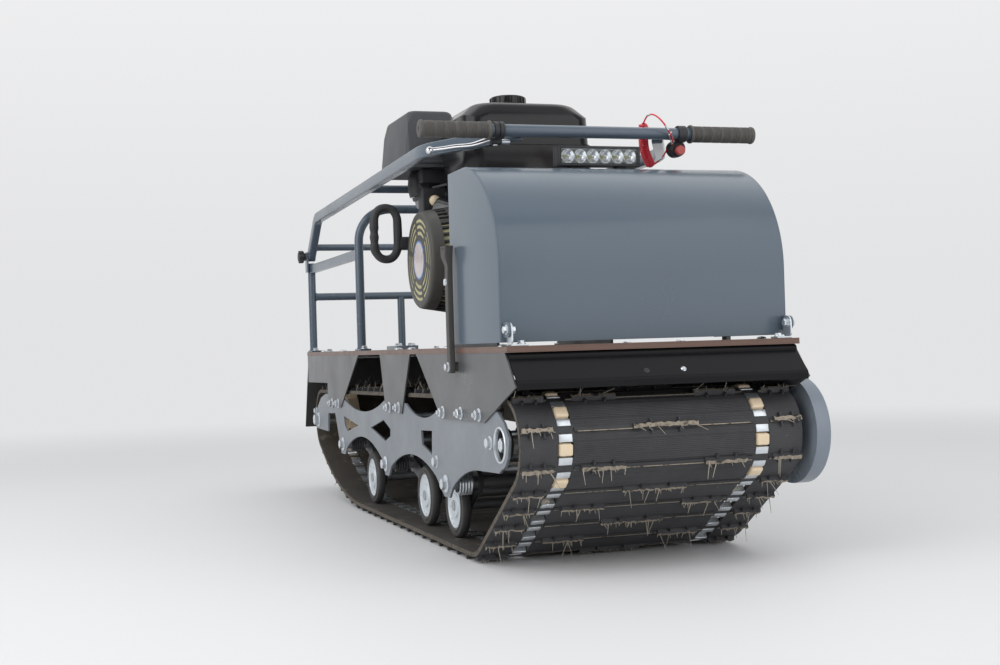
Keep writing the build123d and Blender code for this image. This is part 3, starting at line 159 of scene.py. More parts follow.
# Mirrored, the pale backdrop hangs behind the machine only and the room on the other side is dim
ray = add_node(tree, "LightPath")
towards = add_node(tree, "VectorMath", {1: BACKDROP_SIDE}, operation="DOT_PRODUCT")
hung = add_node(tree, "MapRange", {"From Max": 0.55}, interpolation_type="SMOOTHSTEP")
shown = add_node(tree, "Math", operation="MAXIMUM")
room = add_node(tree, "Mix", {"A": ROOM_TONE}, data_type="RGBA")
seen = add_node(tree, "Math", operation="MAXIMUM")
seen_or_through = add_node(tree, "Math", operation="MAXIMUM")
sky_mix = add_node(tree, "MixShader")
wire(
    tree,
    (place, "Generated", split, "Vector"),
    (split, "Z", climb, "Value"),
    (climb, "Result", tone, "Factor"),
    (place, "Generated", towards, 0),
    (towards, "Value", hung, "Value"),
    (hung, "Result", shown, 0),
    (ray, "Is Camera Ray", shown, 1),
    (shown, 0, room, "Factor"),
    (tone, "Result", room, "B"),
    (room, "Result", seen_sky, "Color"),
    (ray, "Is Camera Ray", seen, 0),
    (ray, "Is Glossy Ray", seen, 1),
    (seen, 0, seen_or_through, 0),
    (ray, "Is Transmission Ray", seen_or_through, 1),
    (seen_or_through, 0, sky_mix, "Fac"),
    (lit_sky, 0, sky_mix, 1),
    (seen_sky, 0, sky_mix, 2),
    (sky_mix, 0, tree.nodes["World Output"], "Surface"),
)

for lamp_name, lamp_place, lamp_size, lamp_power, lamp_aim in LAMPS:
    lamp_data = bpy.data.lights.new(lamp_name, "AREA")
    lamp_data.size = lamp_size
    lamp_data.energy = lamp_power
    lamp = bpy.data.objects.new(lamp_name, lamp_data)
    lamp.location = lamp_place
    lamp.rotation_euler = (Vector(lamp_aim) - Vector(lamp_place)).to_track_quat("-Z", "Y").to_euler()
    scene.collection.objects.link(lamp)

# Lanyard: a red plastic cord that is coiled in the middle, with a plain lead at each end.
# One lead ends in the stop switch, the other in a crimped loop with a snap hook.
CORD_RADIUS = 0.0015
COIL_RADIUS = 0.0080
COIL_PITCH = 0.0034
COIL_STEPS = 14
LOWER_LEAD = ((588, 159, 727), (580, 156, 716), (569, 149, 706), (558, 140, 699))
COIL_ROUTE = ((558, 140, 699), (566, 126, 716), (577, 115, 740), (588, 113, 774))
UPPER_LEAD = ((588, 113, 774), (599, 113, 784), (613, 116, 787), (626, 121, 782), (635, 129, 770),
              (637, 139, 755), (631, 148, 743), (619, 157, 735), (602, 163, 733))


def route_curve(name, points):
    """Curve object whose one smooth spline has these control points."""
    curve = bpy.data.curves.new(name, "CURVE")
    curve.dimensions = "3D"
    spline = curve.splines.new("NURBS")
    spline.points.add(len(points) - 1)
    for knot, point in zip(spline.points, points):
        knot.co = (*point, 1)
    spline.order_u = 3
    spline.use_endpoint_u = True
    return bpy.data.objects.new(name, curve)


def curve_mesh(route):
    """Mesh of a curve object, which is used up."""
    scene.collection.objects.link(route)
    bpy.context.view_layer.update()
    mesh = bpy.data.meshes.new_from_object(route.evaluated_get(bpy.context.evaluated_depsgraph_get()))
    bpy.data.objects.remove(route)
    return mesh


def route_points(points_mm):
    """Points along the smooth spline of a route that is given in millimetres."""
    route = route_curve("route", [Vector(point) / 1000 for point in points_mm])
    route.data.resolution_u = 16
    return [vertex.co.copy() for vertex in curve_mesh(route).vertices]


def along_line(points, step):
    """Places at even steps along a line of points: point, direction."""
    walked, placed = 0.0, []
    for start, end in zip(points, points[1:]):
        run = (end - start).length
        while len(placed) * step <= walked + run:
            share = (len(placed) * step - walked) / run
            placed.append((start.lerp(end, share), (end - start).normalized()))
        walked += run
    return placed


lower_line = route_points(LOWER_LEAD)
coil_line = route_points(COIL_ROUTE)
upper_line = route_points(UPPER_LEAD)
coil_turns = []
coil_places = along_line(coil_line, COIL_PITCH / COIL_STEPS)
sideways = Vector((0, 1, 0))
for step, (spot, heading) in enumerate(coil_places):
    sideways = (sideways - heading * sideways.dot(heading)).normalized()
    upright = heading.cross(sideways)
    grow = min(1, step / COIL_STEPS, (len(coil_places) - 1 - step) / COIL_STEPS)
    turn = 2 * pi * step / COIL_STEPS
    coil_turns.append(spot + COIL_RADIUS * grow * (sideways * cos(turn) + upright * sin(turn)))
cord_line = lower_line[::4] + coil_turns[1:-1] + upper_line[::4]
if (upper_line[-1] - cord_line[-1]).length > 1e-6:
    cord_line.append(upper_line[-1])
# The cord's thickness is in its points' radius, because a curve's bounding box counts that
lanyard = route_curve("lanyard", cord_line)
lanyard.data.bevel_depth = 1
for point in lanyard.data.splines[0].points:
    point.radius = CORD_RADIUS
lanyard.data.bevel_resolution = 3
lanyard.data.resolution_u = 3
scene.collection.objects.link(lanyard)
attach(lanyard, "tiller")
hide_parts("lanyard_coil", "lanyard_lower_lead", "lanyard_upper_lead")


def new_group(name, inputs, outputs):
    """Empty shader node group with these named sockets, and its two end nodes."""
    group = bpy.data.node_groups.new(name, "ShaderNodeTree")
    for socket_name, kind, value in inputs:
        socket = group.interface.new_socket(socket_name, in_out="INPUT", socket_type="NodeSocket" + kind)
        socket.default_value = value
    for socket_name, kind in outputs:
        group.interface.new_socket(socket_name, in_out="OUTPUT", socket_type="NodeSocket" + kind)
    return group, group.nodes.new("NodeGroupInput"), group.nodes.new("NodeGroupOutput")


# Mottle: soft clouds of a second colour, a roughness that goes with them and a fine grain
mottle, given, result = new_group(
    "mottle",
    (("Colour", "Color", (0.5, 0.5, 0.5, 1)), ("Shade", "Color", (0.4, 0.4, 0.4, 1)),
     ("Cloud Scale", "Float", 6.0), ("Grain Scale", "Float", 600.0),
     ("Rough Low", "Float", 0.3), ("Rough High", "Float", 0.5)),
    (("Colour", "Color"), ("Roughness", "Float"), ("Height", "Float")),
)
place = add_node(mottle, "TexCoord")
clouds = add_node(mottle, "TexNoise", {"Detail": 5, "Roughness": 0.62})
grain = add_node(mottle, "TexNoise", {"Detail": 2})
blend = add_node(mottle, "Mix", data_type="RGBA")
spread = add_node(mottle, "MapRange", {"From Min": 0.3, "From Max": 0.7})
wire(
    mottle,
    (place, "Object", clouds, "Vector"),
    (place, "Object", grain, "Vector"),
    (given, "Cloud Scale", clouds, "Scale"),
    (given, "Grain Scale", grain, "Scale"),
    (clouds, "Fac", spread, "Value"),
    (given, "Rough Low", spread, "To Min"),
    (given, "Rough High", spread, "To Max"),
    (clouds, "Fac", blend, "Factor"),
    (given, "Colour", blend, "A"),
    (given, "Shade", blend, "B"),
    (blend, "Result", result, "Colour"),
    (spread, "Result", result, "Roughness"),
    (grain, "Fac", result, "Height"),
)


def finish_of(name, colour, shade, rough, clouds, grain, relief, metal=0.0, clear=0.0, gleam=0.5):
    """Material with mottled colour and roughness and a fine grain. relief is the grain's depth in metres."""
    made = bpy.data.materials.new(name)
    made.use_nodes = True
    tree = made.node_tree
    shader = tree.nodes["Principled BSDF"]
    shader.inputs["Metallic"].default_value = metal
    shader.inputs["Coat Weight"].default_value = clear
    shader.inputs["Specular IOR Level"].default_value = gleam
    shader.inputs["Coat Roughness"].default_value = 0.08
    coat = add_node(tree, "Group", node_tree=mottle, name="coat")
    coat.inputs["Colour"].default_value = (*colour, 1)
    coat.inputs["Shade"].default_value = (*shade, 1)
    coat.inputs["Cloud Scale"].default_value = clouds
    coat.inputs["Grain Scale"].default_value = grain
    coat.inputs["Rough Low"].default_value = rough[0]
    coat.inputs["Rough High"].default_value = rough[1]
    bump = add_node(tree, "Bump", {"Distance": relief}, name="relief")
    wire(
        tree,
        (coat, "Colour", shader, "Base Color"),
        (coat, "Roughness", shader, "Roughness"),
        (coat, "Height", bump, "Height"),
        (bump, "Normal", shader, "Normal"),
    )
    return made


red_cord = finish_of("red_cord", (0.72, 0.02, 0.035), (0.60, 0.012, 0.03), (0.22, 0.34),
                     40, 900, 0.00004, clear=0.5)
lanyard.data.materials.append(red_cord)

# Lanyard fittings: crimped metal sleeves where the cord is doubled back, and the snap hook
# that clips the upper lead to the switch. Bright nickel-plated wire and tube.
HOOK_WIRE = 0.0011
HOOK_HALF = 0.0032
# Sleeves: the lead that each is on, and how far along it
SLEEVES = ((lower_line, 0.55), (upper_line, 0.16), (upper_line, 0.62))


def join(bm, part, paint=0, place=None):
    """Add a finished shape to a piece's mesh, in one of the piece's materials."""
    if place is not None:
        bmesh.ops.transform(part, matrix=place, verts=part.verts)
    bmesh.ops.recalc_face_normals(part, faces=part.faces)
    if paint is not None:
        for face in part.faces:
            face.material_index = paint
    shape = bpy.data.meshes.new("shape")
    part.to_mesh(shape)
    part.free()
    bm.from_mesh(shape)
    bpy.data.meshes.remove(shape)


def round_edges(part, edges, radius, steps=2):
    """Round these edges of a shape."""
    bmesh.ops.bevel(part, geom=edges, offset=radius, offset_type="OFFSET", affect="EDGES",
                    segments=steps, profile=0.5, material=-1, clamp_overlap=True)


def facing(axis):
    """Turn that takes Z to an axis."""
    return Vector(axis).to_track_quat("Z", "Y").to_matrix().to_4x4()


def add_rod(bm, start, end, radius, sides=16, tip=None, edge=0.0, paint=0):
    """Bar between two points, round or with a few sides. tip is its radius at the end."""
    start, end = Vector(start), Vector(end)
    part = bmesh.new()
    bmesh.ops.create_cone(part, cap_ends=True, segments=sides, radius1=radius,
                          radius2=radius if tip is None else tip, depth=(end - start).length)
    if edge:
        rims = [e for e in part.edges if abs(e.verts[0].co.z - e.verts[1].co.z) < 1e-7]
        round_edges(part, rims, edge)
    join(bm, part, paint, Matrix.Translation((start + end) / 2) @ facing(end - start))


def new_block(low, high):
    """Plain box between two corners, not yet in a piece."""
    low, high = Vector(low), Vector(high)
    part = bmesh.new()
    bmesh.ops.create_cube(part, size=1)
    bmesh.ops.scale(part, vec=high - low, verts=part.verts)
    bmesh.ops.translate(part, vec=(low + high) / 2, verts=part.verts)
    return part


def add_block(bm, low, high, edge=0.0, steps=2, paint=0, place=None):
    """Box between two corners with rounded edges."""
    part = new_block(low, high)
    if edge:
        round_edges(part, part.edges[:], edge, steps)
    join(bm, part, paint, place)


def add_turned(bm, profile, centre, axis, steps=32, paint=0):
    """Turned shape: a profile of (distance along the axis, radius) spun round the axis."""
    part = bmesh.new()
    rim = [part.verts.new((radius, 0, along)) for along, radius in profile]
    line = [part.edges.new(pair) for pair in zip(rim, rim[1:])]
    bmesh.ops.spin(part, geom=rim + line, cent=(0, 0, 0), axis=(0, 0, 1), angle=2 * pi, steps=steps,
                   use_merge=True)
    bmesh.ops.remove_doubles(part, verts=part.verts, dist=1e-6)
    join(bm, part, paint, Matrix.Translation(centre) @ facing(axis))


def new_piece(name, bm, body, materials, stands_for=(), crease=32):
    """Make a mesh a piece that sits at the origin and rides on a body."""
    mesh = bpy.data.meshes.new(name)
    bm.to_mesh(mesh)
    bm.free()
    for material in materials:
        mesh.materials.append(material)
    mesh.shade_smooth()
    mesh.set_sharp_from_angle(angle=radians(crease))
    piece = bpy.data.objects.new(name, mesh)
    scene.collection.objects.link(piece)
    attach(piece, body)
    if stands_for:
        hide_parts(*stands_for)
    return piece


bright_zinc = finish_of("bright_zinc", (0.80, 0.84, 0.87), (0.64, 0.68, 0.72), (0.24, 0.42),
                        55, 1400, 0.00003, metal=0.85)
bm = bmesh.new()
for line, at in SLEEVES:
    spot = int(at * (len(line) - 1))
    run = (line[spot + 1] - line[spot]).normalized()
    add_rod(bm, line[spot] - run * 0.005, line[spot] + run * 0.005, CORD_RADIUS * 1.45, sides=12,
            edge=0.0006)
hook_start = upper_line[int(0.72 * len(upper_line))]
hook_end = upper_line[int(0.93 * len(upper_line))]
hook_side = (hook_end - hook_start).normalized().cross(Vector((1, 0, 0))).normalized()
for edge_sign in (-1, 1):
    shift = hook_side * HOOK_HALF * edge_sign
    add_rod(bm, hook_start + shift, hook_end + shift, HOOK_WIRE, sides=8)
for end_point in (hook_start, hook_end):
    reach = hook_side * (HOOK_HALF + HOOK_WIRE)
    add_rod(bm, end_point - reach, end_point + reach, HOOK_WIRE, sides=8)
lanyard_fittings = new_piece("lanyard_fittings", bm, "tiller", [bright_zinc])

# Track: an endless rubber belt with cord in it, moulded with fine cross ribs, rows of windows
# for the sprocket teeth with a steel clip at each edge, and cross lugs worn to the cord at their tips.
BELT_HALF = 0.248
BELT = 0.008
LUG = 0.009
LUG_FOOT = 0.0055
DRUM = 0.078
DRIVE = Vector((0.808, 0.214))
IDLER = Vector((-0.700, 0.195))
APPROACH = radians(33)
REAR_BEND_X = -0.490
REAR_BEND = 1.000
FRONT_BEND = 0.100
PITCHES = 60
LUG_PHASE = -0.4
RIDGES = 15
RIDGE_HEIGHT = 0.0011
WINDOW_Y = 0.173
WINDOW_HALF_WIDTH = 0.0132
WINDOW_HALF_LENGTH = 0.0128
CLIP_HALF_WIDTH = 0.0115
OUTER_LUGS = ((-0.246, -0.194), (0.194, 0.246))
INNER_LUGS = (((-0.057, 0.057),), ((-0.146, -0.070), (0.070, 0.146)))
CROSS_RIBS = ((-0.247, -0.189), (-0.157, 0.157), (0.189, 0.247))

top_tilt = atan2(DRIVE.y - IDLER.y, DRIVE.x - IDLER.x)
rear_rise = atan2(IDLER.y - LUG, REAR_BEND_X - IDLER.x)
departure = rear_rise - asin(DRUM / hypot(IDLER.y - LUG, REAR_BEND_X - IDLER.x))
ramp_normal = APPROACH - pi / 2
front_bend_z = LUG + FRONT_BEND
ramp_gap = DRUM - FRONT_BEND - (front_bend_z - DRIVE.y) * sin(ramp_normal)
front_bend_x = DRIVE.x + ramp_gap / cos(ramp_normal)
rear_bend_x = REAR_BEND_X + REAR_BEND * tan(departure / 2)
# Bends of the belt in the order of its run: centre, radius, angle of the outward normal from and to
BELT_BENDS = (
    (DRIVE, DRUM, pi / 2 + top_tilt, ramp_normal),
    (Vector((front_bend_x, front_bend_z)), FRONT_BEND, ramp_normal, -pi / 2),
    (Vector((rear_bend_x, LUG + REAR_BEND)), REAR_BEND, -pi / 2, -pi / 2 - departure),
    (IDLER, DRUM, -pi / 2 - departure, -3 * pi / 2 + top_tilt),
)


def outward(angle):
    """Unit vector at this angle in the side view."""
    return Vector((cos(angle), sin(angle)))


belt_runs = []
for bend, after in zip(BELT_BENDS, BELT_BENDS[1:] + BELT_BENDS[:1]):
    centre, radius, from_angle, to_angle = bend
    middle = radius - BELT / 2
    belt_runs.append(("bend", centre, middle, from_angle, to_angle, (from_angle - to_angle) * middle))
    leave = centre + outward(to_angle) * middle
    reach = after[0] + outward(to_angle) * (after[1] - BELT / 2)
    belt_runs.append(("straight", leave, reach, to_angle, to_angle, (reach - leave).length))
belt_length = sum(run[-1] for run in belt_runs)
PITCH = belt_length / PITCHES


def belt_place(along):
    """Point of the belt's middle line at this length along it, and its outward normal's angle."""
    along %= belt_length
    for kind, start, end, from_angle, to_angle, length in belt_runs:
        if along <= length:
            break
        along -= length
    share = min(1.0, along / length)
    if kind == "bend":
        angle = from_angle + (to_angle - from_angle) * share
        return start + outward(angle) * end, angle
    return start.lerp(end, share), to_angle


def slice_at(part, spot, normal):
    """Cut all faces of a shape along a plane and keep both sides."""
    bmesh.ops.bisect_plane(part, geom=part.verts[:] + part.edges[:] + part.faces[:],
                           plane_co=spot, plane_no=normal)


def push_out(part, faces, way, keep=True):
    """Extrude faces along a vector. The first faces stay as the back where keep says so."""
    grown = bmesh.ops.extrude_face_region(part, geom=faces, use_keep_orig=keep)["geom"]
    bmesh.ops.translate(part, vec=way, verts=[v for v in grown if isinstance(v, bmesh.types.BMVert)])


def belt_panel():
    """One pitch of the flat belt with its two windows: x along, y across, z out from the outer face."""
    part = bmesh.new()
    corners = ((0, -BELT_HALF), (PITCH, -BELT_HALF), (PITCH, BELT_HALF), (0, BELT_HALF))
    part.faces.new([part.verts.new((x, y, 0)) for x, y in corners])
    ridge_lines = [PITCH * (0.12 + 0.76 * line / (2 * RIDGES)) for line in range(2 * RIDGES + 1)]
    for side in (-1, 1):
        for edge in (-1, 1):
            slice_at(part, (0, side * WINDOW_Y + edge * WINDOW_HALF_WIDTH, 0), (0, 1, 0))
    for cut in [PITCH / 2 - WINDOW_HALF_LENGTH, PITCH / 2 + WINDOW_HALF_LENGTH] + ridge_lines:
        slice_at(part, (cut, 0, 0), (1, 0, 0))
    holes = [face for face in part.faces
             if abs(abs(face.calc_center_median().y) - WINDOW_Y) < WINDOW_HALF_WIDTH
             and abs(face.calc_center_median().x - PITCH / 2) < WINDOW_HALF_LENGTH]
    bmesh.ops.delete(part, geom=holes, context="FACES")
    push_out(part, part.faces[:], (0, 0, -BELT))
    for vert in part.verts:
        crest = any(abs(vert.co.x - line) < 1e-6 for line in ridge_lines[1::2])
        if crest and vert.co.z > -BELT / 2 and abs(vert.co.y) < WINDOW_Y:
            vert.co.z += RIDGE_HEIGHT
    ends = [face for face in part.faces
            if all(v.co.x < 1e-6 for v in face.verts) or all(v.co.x > PITCH - 1e-6 for v in face.verts)]
    bmesh.ops.delete(part, geom=ends, context="FACES")
    return part


def add_lug(bm, low_y, high_y):
    """Cross lug: a tapered bar with buttresses, its tip worn ragged to the cord."""
    part = bmesh.new()
    steps = int((high_y - low_y) / 0.004)
    rows = []
    for step in range(steps + 1):
        y = low_y + (high_y - low_y) * step / steps
        worn = LUG * chance.uniform(0.70, 1.0)
        near, far = chance.uniform(0.0016, 0.0040), chance.uniform(0.0016, 0.0040)
        outline = ((-LUG_FOOT, -0.001), (-near, worn), (far, worn), (LUG_FOOT, -0.001))
        rows.append([part.verts.new((x, y, z)) for x, z in outline])
    for row, after in zip(rows, rows[1:]):
        for side in range(3):
            face = part.faces.new((row[side], after[side], after[side + 1], row[side + 1]))
            face.material_index = int(side == 1)
    part.faces.new(rows[0])
    part.faces.new(rows[-1])
    join(bm, part, None)
    for share in (0.28, 0.72):
        rib_y = low_y + (high_y - low_y) * share
        for direction in (-1, 1):
            add_block(bm, (min(0, direction * 0.011), rib_y - 0.0016, -0.001),
                      (max(0, direction * 0.011), rib_y + 0.0016, LUG * 0.6))


def add_clip(bm, side, direction):
    """Steel clip folded over one edge of a window."""
    edge_x = PITCH / 2 + direction * WINDOW_HALF_LENGTH
    near, far = edge_x - direction * 0.0012, edge_x + direction * 0.0105
    low_y, high_y = side * WINDOW_Y - CLIP_HALF_WIDTH, side * WINDOW_Y + CLIP_HALF_WIDTH
    under = -BELT - 0.0016
    add_block(bm, (min(near, far), low_y, -0.0005), (max(near, far), high_y, 0.0022), 0.0009, 2, 3)
    add_block(bm, (min(near, far), low_y, under), (max(near, far), high_y, -BELT), 0, 1, 3)
    add_block(bm, (min(near, edge_x), low_y, under), (max(near, edge_x), high_y, 0.001), 0, 1, 3)


flat_links = []
chance = random.Random(5)
for inner_lugs in INNER_LUGS:
    bm = bmesh.new()
    join(bm, belt_panel(), 0)
    for face in bm.faces:
        if all(abs(v.co.y) > BELT_HALF - 1e-6 for v in face.verts):
            face.material_index = 2
        elif all(v.co.z < 1e-6 - BELT for v in face.verts):
            face.material_index = 5
    for low_y, high_y in OUTER_LUGS + inner_lugs:
        add_lug(bm, low_y, high_y)
    for side in (-1, 1):
        for direction in (-1, 1):
            add_clip(bm, side, direction)
    for low_y, high_y in CROSS_RIBS:
        add_block(bm, (-0.0034, low_y, -0.001), (0.0034, high_y, 0.0026))
        add_block(bm, (0.0020, low_y, 0.0022), (0.0034, high_y, 0.0031), paint=1)
    link = bpy.data.meshes.new("belt_link")
    bm.to_mesh(link)
    bm.free()
    flat_links.append(link)

bm = bmesh.new()
for pitch in range(PITCHES):
    first = len(bm.verts)
    bm.from_mesh(flat_links[pitch % 2])
    bm.verts.ensure_lookup_table()
    bmesh.ops.translate(bm, vec=(pitch * PITCH, 0, 0), verts=bm.verts[first:])
    # No threads hang from the lugs that the tug stands on
    if sin(belt_place((pitch + LUG_PHASE) * PITCH)[1]) < -0.97:
        continue
    for low_y, high_y in OUTER_LUGS + INNER_LUGS[pitch % 2]:
        for thread in range(int((high_y - low_y) / 0.0065)):
            root = Vector((pitch * PITCH + chance.uniform(-0.003, 0.003), chance.uniform(low_y, high_y),
                           LUG - 0.002))
            lean = Vector((chance.uniform(0.0, 1.5), chance.uniform(-0.6, 0.6), 1)).normalized()
            reach = chance.uniform(0.004, 0.011) if thread % 5 else chance.uniform(0.014, 0.032)
            add_rod(bm, root, root + lean * reach, 0.0009, sides=3, tip=0.0004, paint=4)
run_map = bm.loops.layers.uv.new("run")
for face in bm.faces:
    for loop in face.loops:
        loop[run_map].uv = (loop.vert.co.x / PITCH, loop.vert.co.y / PITCH)
for vert in bm.verts:
    middle, angle = belt_place(vert.co.x + LUG_PHASE * PITCH)
    spot = middle + outward(angle) * (vert.co.z + BELT / 2)
    vert.co = (spot.x, vert.co.y, max(0, spot.y))
bmesh.ops.remove_doubles(bm, verts=bm.verts, dist=0.00002)

# Ribs: fine moulded ridges across the belt, from the length along it in the run map
ribs, given, result = new_group("ribs", (("Per Pitch", "Float", 20.0),), (("Height", "Float"),))
run = add_node(ribs, "UVMap", uv_map="run")
split = add_node(ribs, "SeparateXYZ")
count = add_node(ribs, "Math", operation="MULTIPLY")
ridge = add_node(ribs, "Math", {1: 0.5}, operation="PINGPONG")
wire(
    ribs,
    (run, "UV", split, "Vector"),
    (split, "X", count, 0),
    (given, "Per Pitch", count, 1),
    (count, 0, ridge, 0),
    (ridge, 0, result, "Height"),
)

# Scuffs: broken patches of a second colour, where a surface is rubbed or dusty
scuffs, given, result = new_group(
    "scuffs",
    (("Colour", "Color", (0.1, 0.1, 0.1, 1)), ("Scuff", "Color", (0.4, 0.35, 0.28, 1)),
     ("Scale", "Float", 60.0), ("Share", "Float", 0.6)),
    (("Colour", "Color"), ("Mask", "Float")),
)
place = add_node(scuffs, "TexCoord")
patches = add_node(scuffs, "TexNoise", {"Detail": 6, "Roughness": 0.7})
edge = add_node(scuffs, "MapRange")
past = add_node(scuffs, "Math", {1: 0.09}, operation="ADD")
blend = add_node(scuffs, "Mix", data_type="RGBA")
wire(
    scuffs,
    (place, "Object", patches, "Vector"),
    (given, "Scale", patches, "Scale"),
    (patches, "Fac", edge, "Value"),
    (given, "Share", edge, "From Min"),
    (given, "Share", past, 0),
    (past, 0, edge, "From Max"),
    (edge, "Result", blend, "Factor"),
    (given, "Colour", blend, "A"),
    (given, "Scuff", blend, "B"),
    (blend, "Result", result, "Colour"),
    (edge, "Result", result, "Mask"),
)


def scuff_over(material, colour, scale, share):
    """Lay broken patches of another colour over a material's own colour."""
    tree = material.node_tree
    over = add_node(tree, "Group", node_tree=scuffs)
    over.inputs["Scuff"].default_value = (*colour, 1)
    over.inputs["Scale"].default_value = scale
    over.inputs["Share"].default_value = share
    wire(
        tree,
        (tree.nodes["coat"], "Colour", over, "Colour"),
        (over, "Colour", tree.nodes["Principled BSDF"], "Base Color"),
    )


track_rubber = finish_of("track_rubber", (0.052, 0.053, 0.056), (0.036, 0.036, 0.039), (0.50, 0.72),
                         18, 700, 0.0006)
scuff_over(track_rubber, (0.19, 0.17, 0.145), 75, 0.67)
tree = track_rubber.node_tree
rib_height = add_node(tree, "Group", node_tree=ribs)
rib_sum = add_node(tree, "Math", {1: 0.3}, operation="MULTIPLY_ADD")
wire(
    tree,
    (tree.nodes["coat"], "Height", rib_sum, 0),
    (rib_height, "Height", rib_sum, 2),
    (rib_sum, 0, tree.nodes["relief"], "Height"),
)
bare_cord = finish_of("bare_cord", (0.50, 0.43, 0.34), (0.20, 0.17, 0.135), (0.8, 0.95), 120, 1500, 0.0008)
scuff_over(bare_cord, (0.040, 0.038, 0.037), 45, 0.53)
frayed_edge = finish_of("frayed_edge", (0.15, 0.125, 0.098), (0.075, 0.064, 0.053), (0.8, 0.95),
                        70, 1200, 0.0009)
scuff_over(frayed_edge, (0.055, 0.048, 0.042), 90, 0.52)
pale_thread = finish_of("pale_thread", (0.46, 0.415, 0.35), (0.30, 0.265, 0.215), (0.8, 0.95),
                        60, 900, 0.0001)
dusty_rubber = finish_of("dusty_rubber", (0.075, 0.066, 0.056), (0.046, 0.042, 0.038), (0.6, 0.8),
                         14, 700, 0.0004)
scuff_over(dusty_rubber, (0.15, 0.128, 0.102), 22, 0.56)
new_piece("track_belt", bm, "chassis",
          [track_rubber, bare_cord, frayed_edge, bright_zinc, pale_thread, dusty_rubber], ["track"], 28)

# Sprockets: cast polyamide wheels, two on each axle, whose teeth come up through the belt's
# windows. Each has a thick hub, a thin web and a rim under the belt.
TOOTH_ROOT = 0.062
TOOTH_TIP = 0.0835
TOOTH_HALF_WIDTH = 0.0116
TOOTH_HALF_LENGTH = 0.01125
TEETH = 8
# Sprockets: piece, node, axle, the belt's run over it, bore radius
SPROCKETS = (
    ("drive_sprocket_wheels", "drive_sprockets", DRIVE, 0, 0.0153),
    ("idler_sprocket_wheels", "idler_sprockets", IDLER, 6, 0.0123),
)
cream_plastic = finish_of("cream_plastic", (0.84, 0.70, 0.51), (0.76, 0.60, 0.41), (0.38, 0.55),
                          30, 800, 0.00012)
for piece_name, node_name, axle, run_index, bore in SPROCKETS:
    bm = bmesh.new()
    run_start = sum(run[-1] for run in belt_runs[:run_index])
    run_radius, run_angle = belt_runs[run_index][2:4]
    first_window = int(run_start / PITCH - LUG_PHASE - 0.5) + 1
    first_angle = run_angle - ((first_window + 0.5 + LUG_PHASE) * PITCH - run_start) / run_radius
    for side in (-1, 1):
        middle = Vector((axle.x, side * WINDOW_Y, axle.y))
        add_turned(bm, ((-0.015, bore), (-0.015, 0.030), (-0.006, 0.033), (-0.006, 0.055), (-0.013, 0.058),
                        (-0.013, 0.0685), (0.013, 0.0685), (0.013, 0.058), (0.006, 0.055), (0.006, 0.033),
                        (0.015, 0.030), (0.015, bore), (-0.015, bore)), middle, (0, 1, 0), 48)
        for tooth in range(TEETH):
            part = new_block((TOOTH_ROOT, -TOOTH_HALF_WIDTH, -TOOTH_HALF_LENGTH),
                             (TOOTH_TIP, TOOTH_HALF_WIDTH, TOOTH_HALF_LENGTH))
            bmesh.ops.scale(part, vec=(1, 0.94, 0.82), verts=[v for v in part.verts if v.co.x > 0.07])
            round_edges(part, part.edges[:], 0.0028, 3)
            turn = Matrix.Rotation(-(first_angle - tooth * PITCH / run_radius), 4, "Y")
            join(bm, part, 0, Matrix.Translation(middle) @ turn)
    new_piece(piece_name, bm, "chassis", [cream_plastic], [node_name])

# Axles: zinc-plated round steel bars across the track, for the sprockets, the wheels and the arms.
# The drive axle's right end sits back inside its bearing.


def dress(material, *node_names):
    """Give CAD nodes a finish in place of their plain one."""
    for node_name in node_names:
        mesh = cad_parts[node_name].data
        mesh.materials.clear()
        mesh.materials.append(material)


dull_zinc = finish_of("dull_zinc", (0.52, 0.54, 0.56), (0.36, 0.38, 0.40), (0.34, 0.55),
                      45, 1000, 0.00005, metal=1.0)
dress(dull_zinc, "idler_axle", "wheel_axles", "pivot_axles")
bm = bmesh.new()
add_rod(bm, (DRIVE.x, -0.245, DRIVE.y), (DRIVE.x, 0.268, DRIVE.y), 0.015, 32, edge=0.001)
new_piece("drive_axle_bar", bm, "chassis", [dull_zinc], ["drive_axle"])

# Drive bearings: ball bearings set back in a grey flange on the side plates, with a rubber seal,
# and the axle's end bolt and washer on the right.
PLATE_FACE = 0.255
SKIRT_FACE = 0.258
black_rubber = finish_of("black_rubber", (0.020, 0.020, 0.021), (0.034, 0.033, 0.033), (0.45, 0.65),
                         25, 900, 0.0002)
bm = bmesh.new()
for side in (-1, 1):
    face = Vector((DRIVE.x, side * PLATE_FACE, DRIVE.y))
    add_turned(bm, ((-0.004, 0.0300), (0.0003, 0.0300), (0.0003, 0.0392), (-0.004, 0.0392),
                    (-0.004, 0.0300)),
               face, (0, side, 0), 56, 2)
    add_turned(bm, ((-0.004, 0.0300), (0.0012, 0.0300), (0.0024, 0.0290), (0.0024, 0.0268),
                    (0.0002, 0.0260),
                    (-0.004, 0.0260), (-0.004, 0.0300)), face, (0, side, 0), 56)
    add_turned(bm, ((0.0002, 0.0262), (-0.014, 0.0260), (-0.0135, 0.0225), (-0.014, 0.0192),
                    (-0.0150, 0.0192)),
               face, (0, side, 0), 48, 1)
    add_turned(bm, ((-0.015, 0.0192), (-0.0100, 0.0190), (-0.0092, 0.0182), (-0.0092, 0.0148),
                    (-0.015, 0.0148),
                    (-0.015, 0.0192)), face, (0, side, 0), 48)


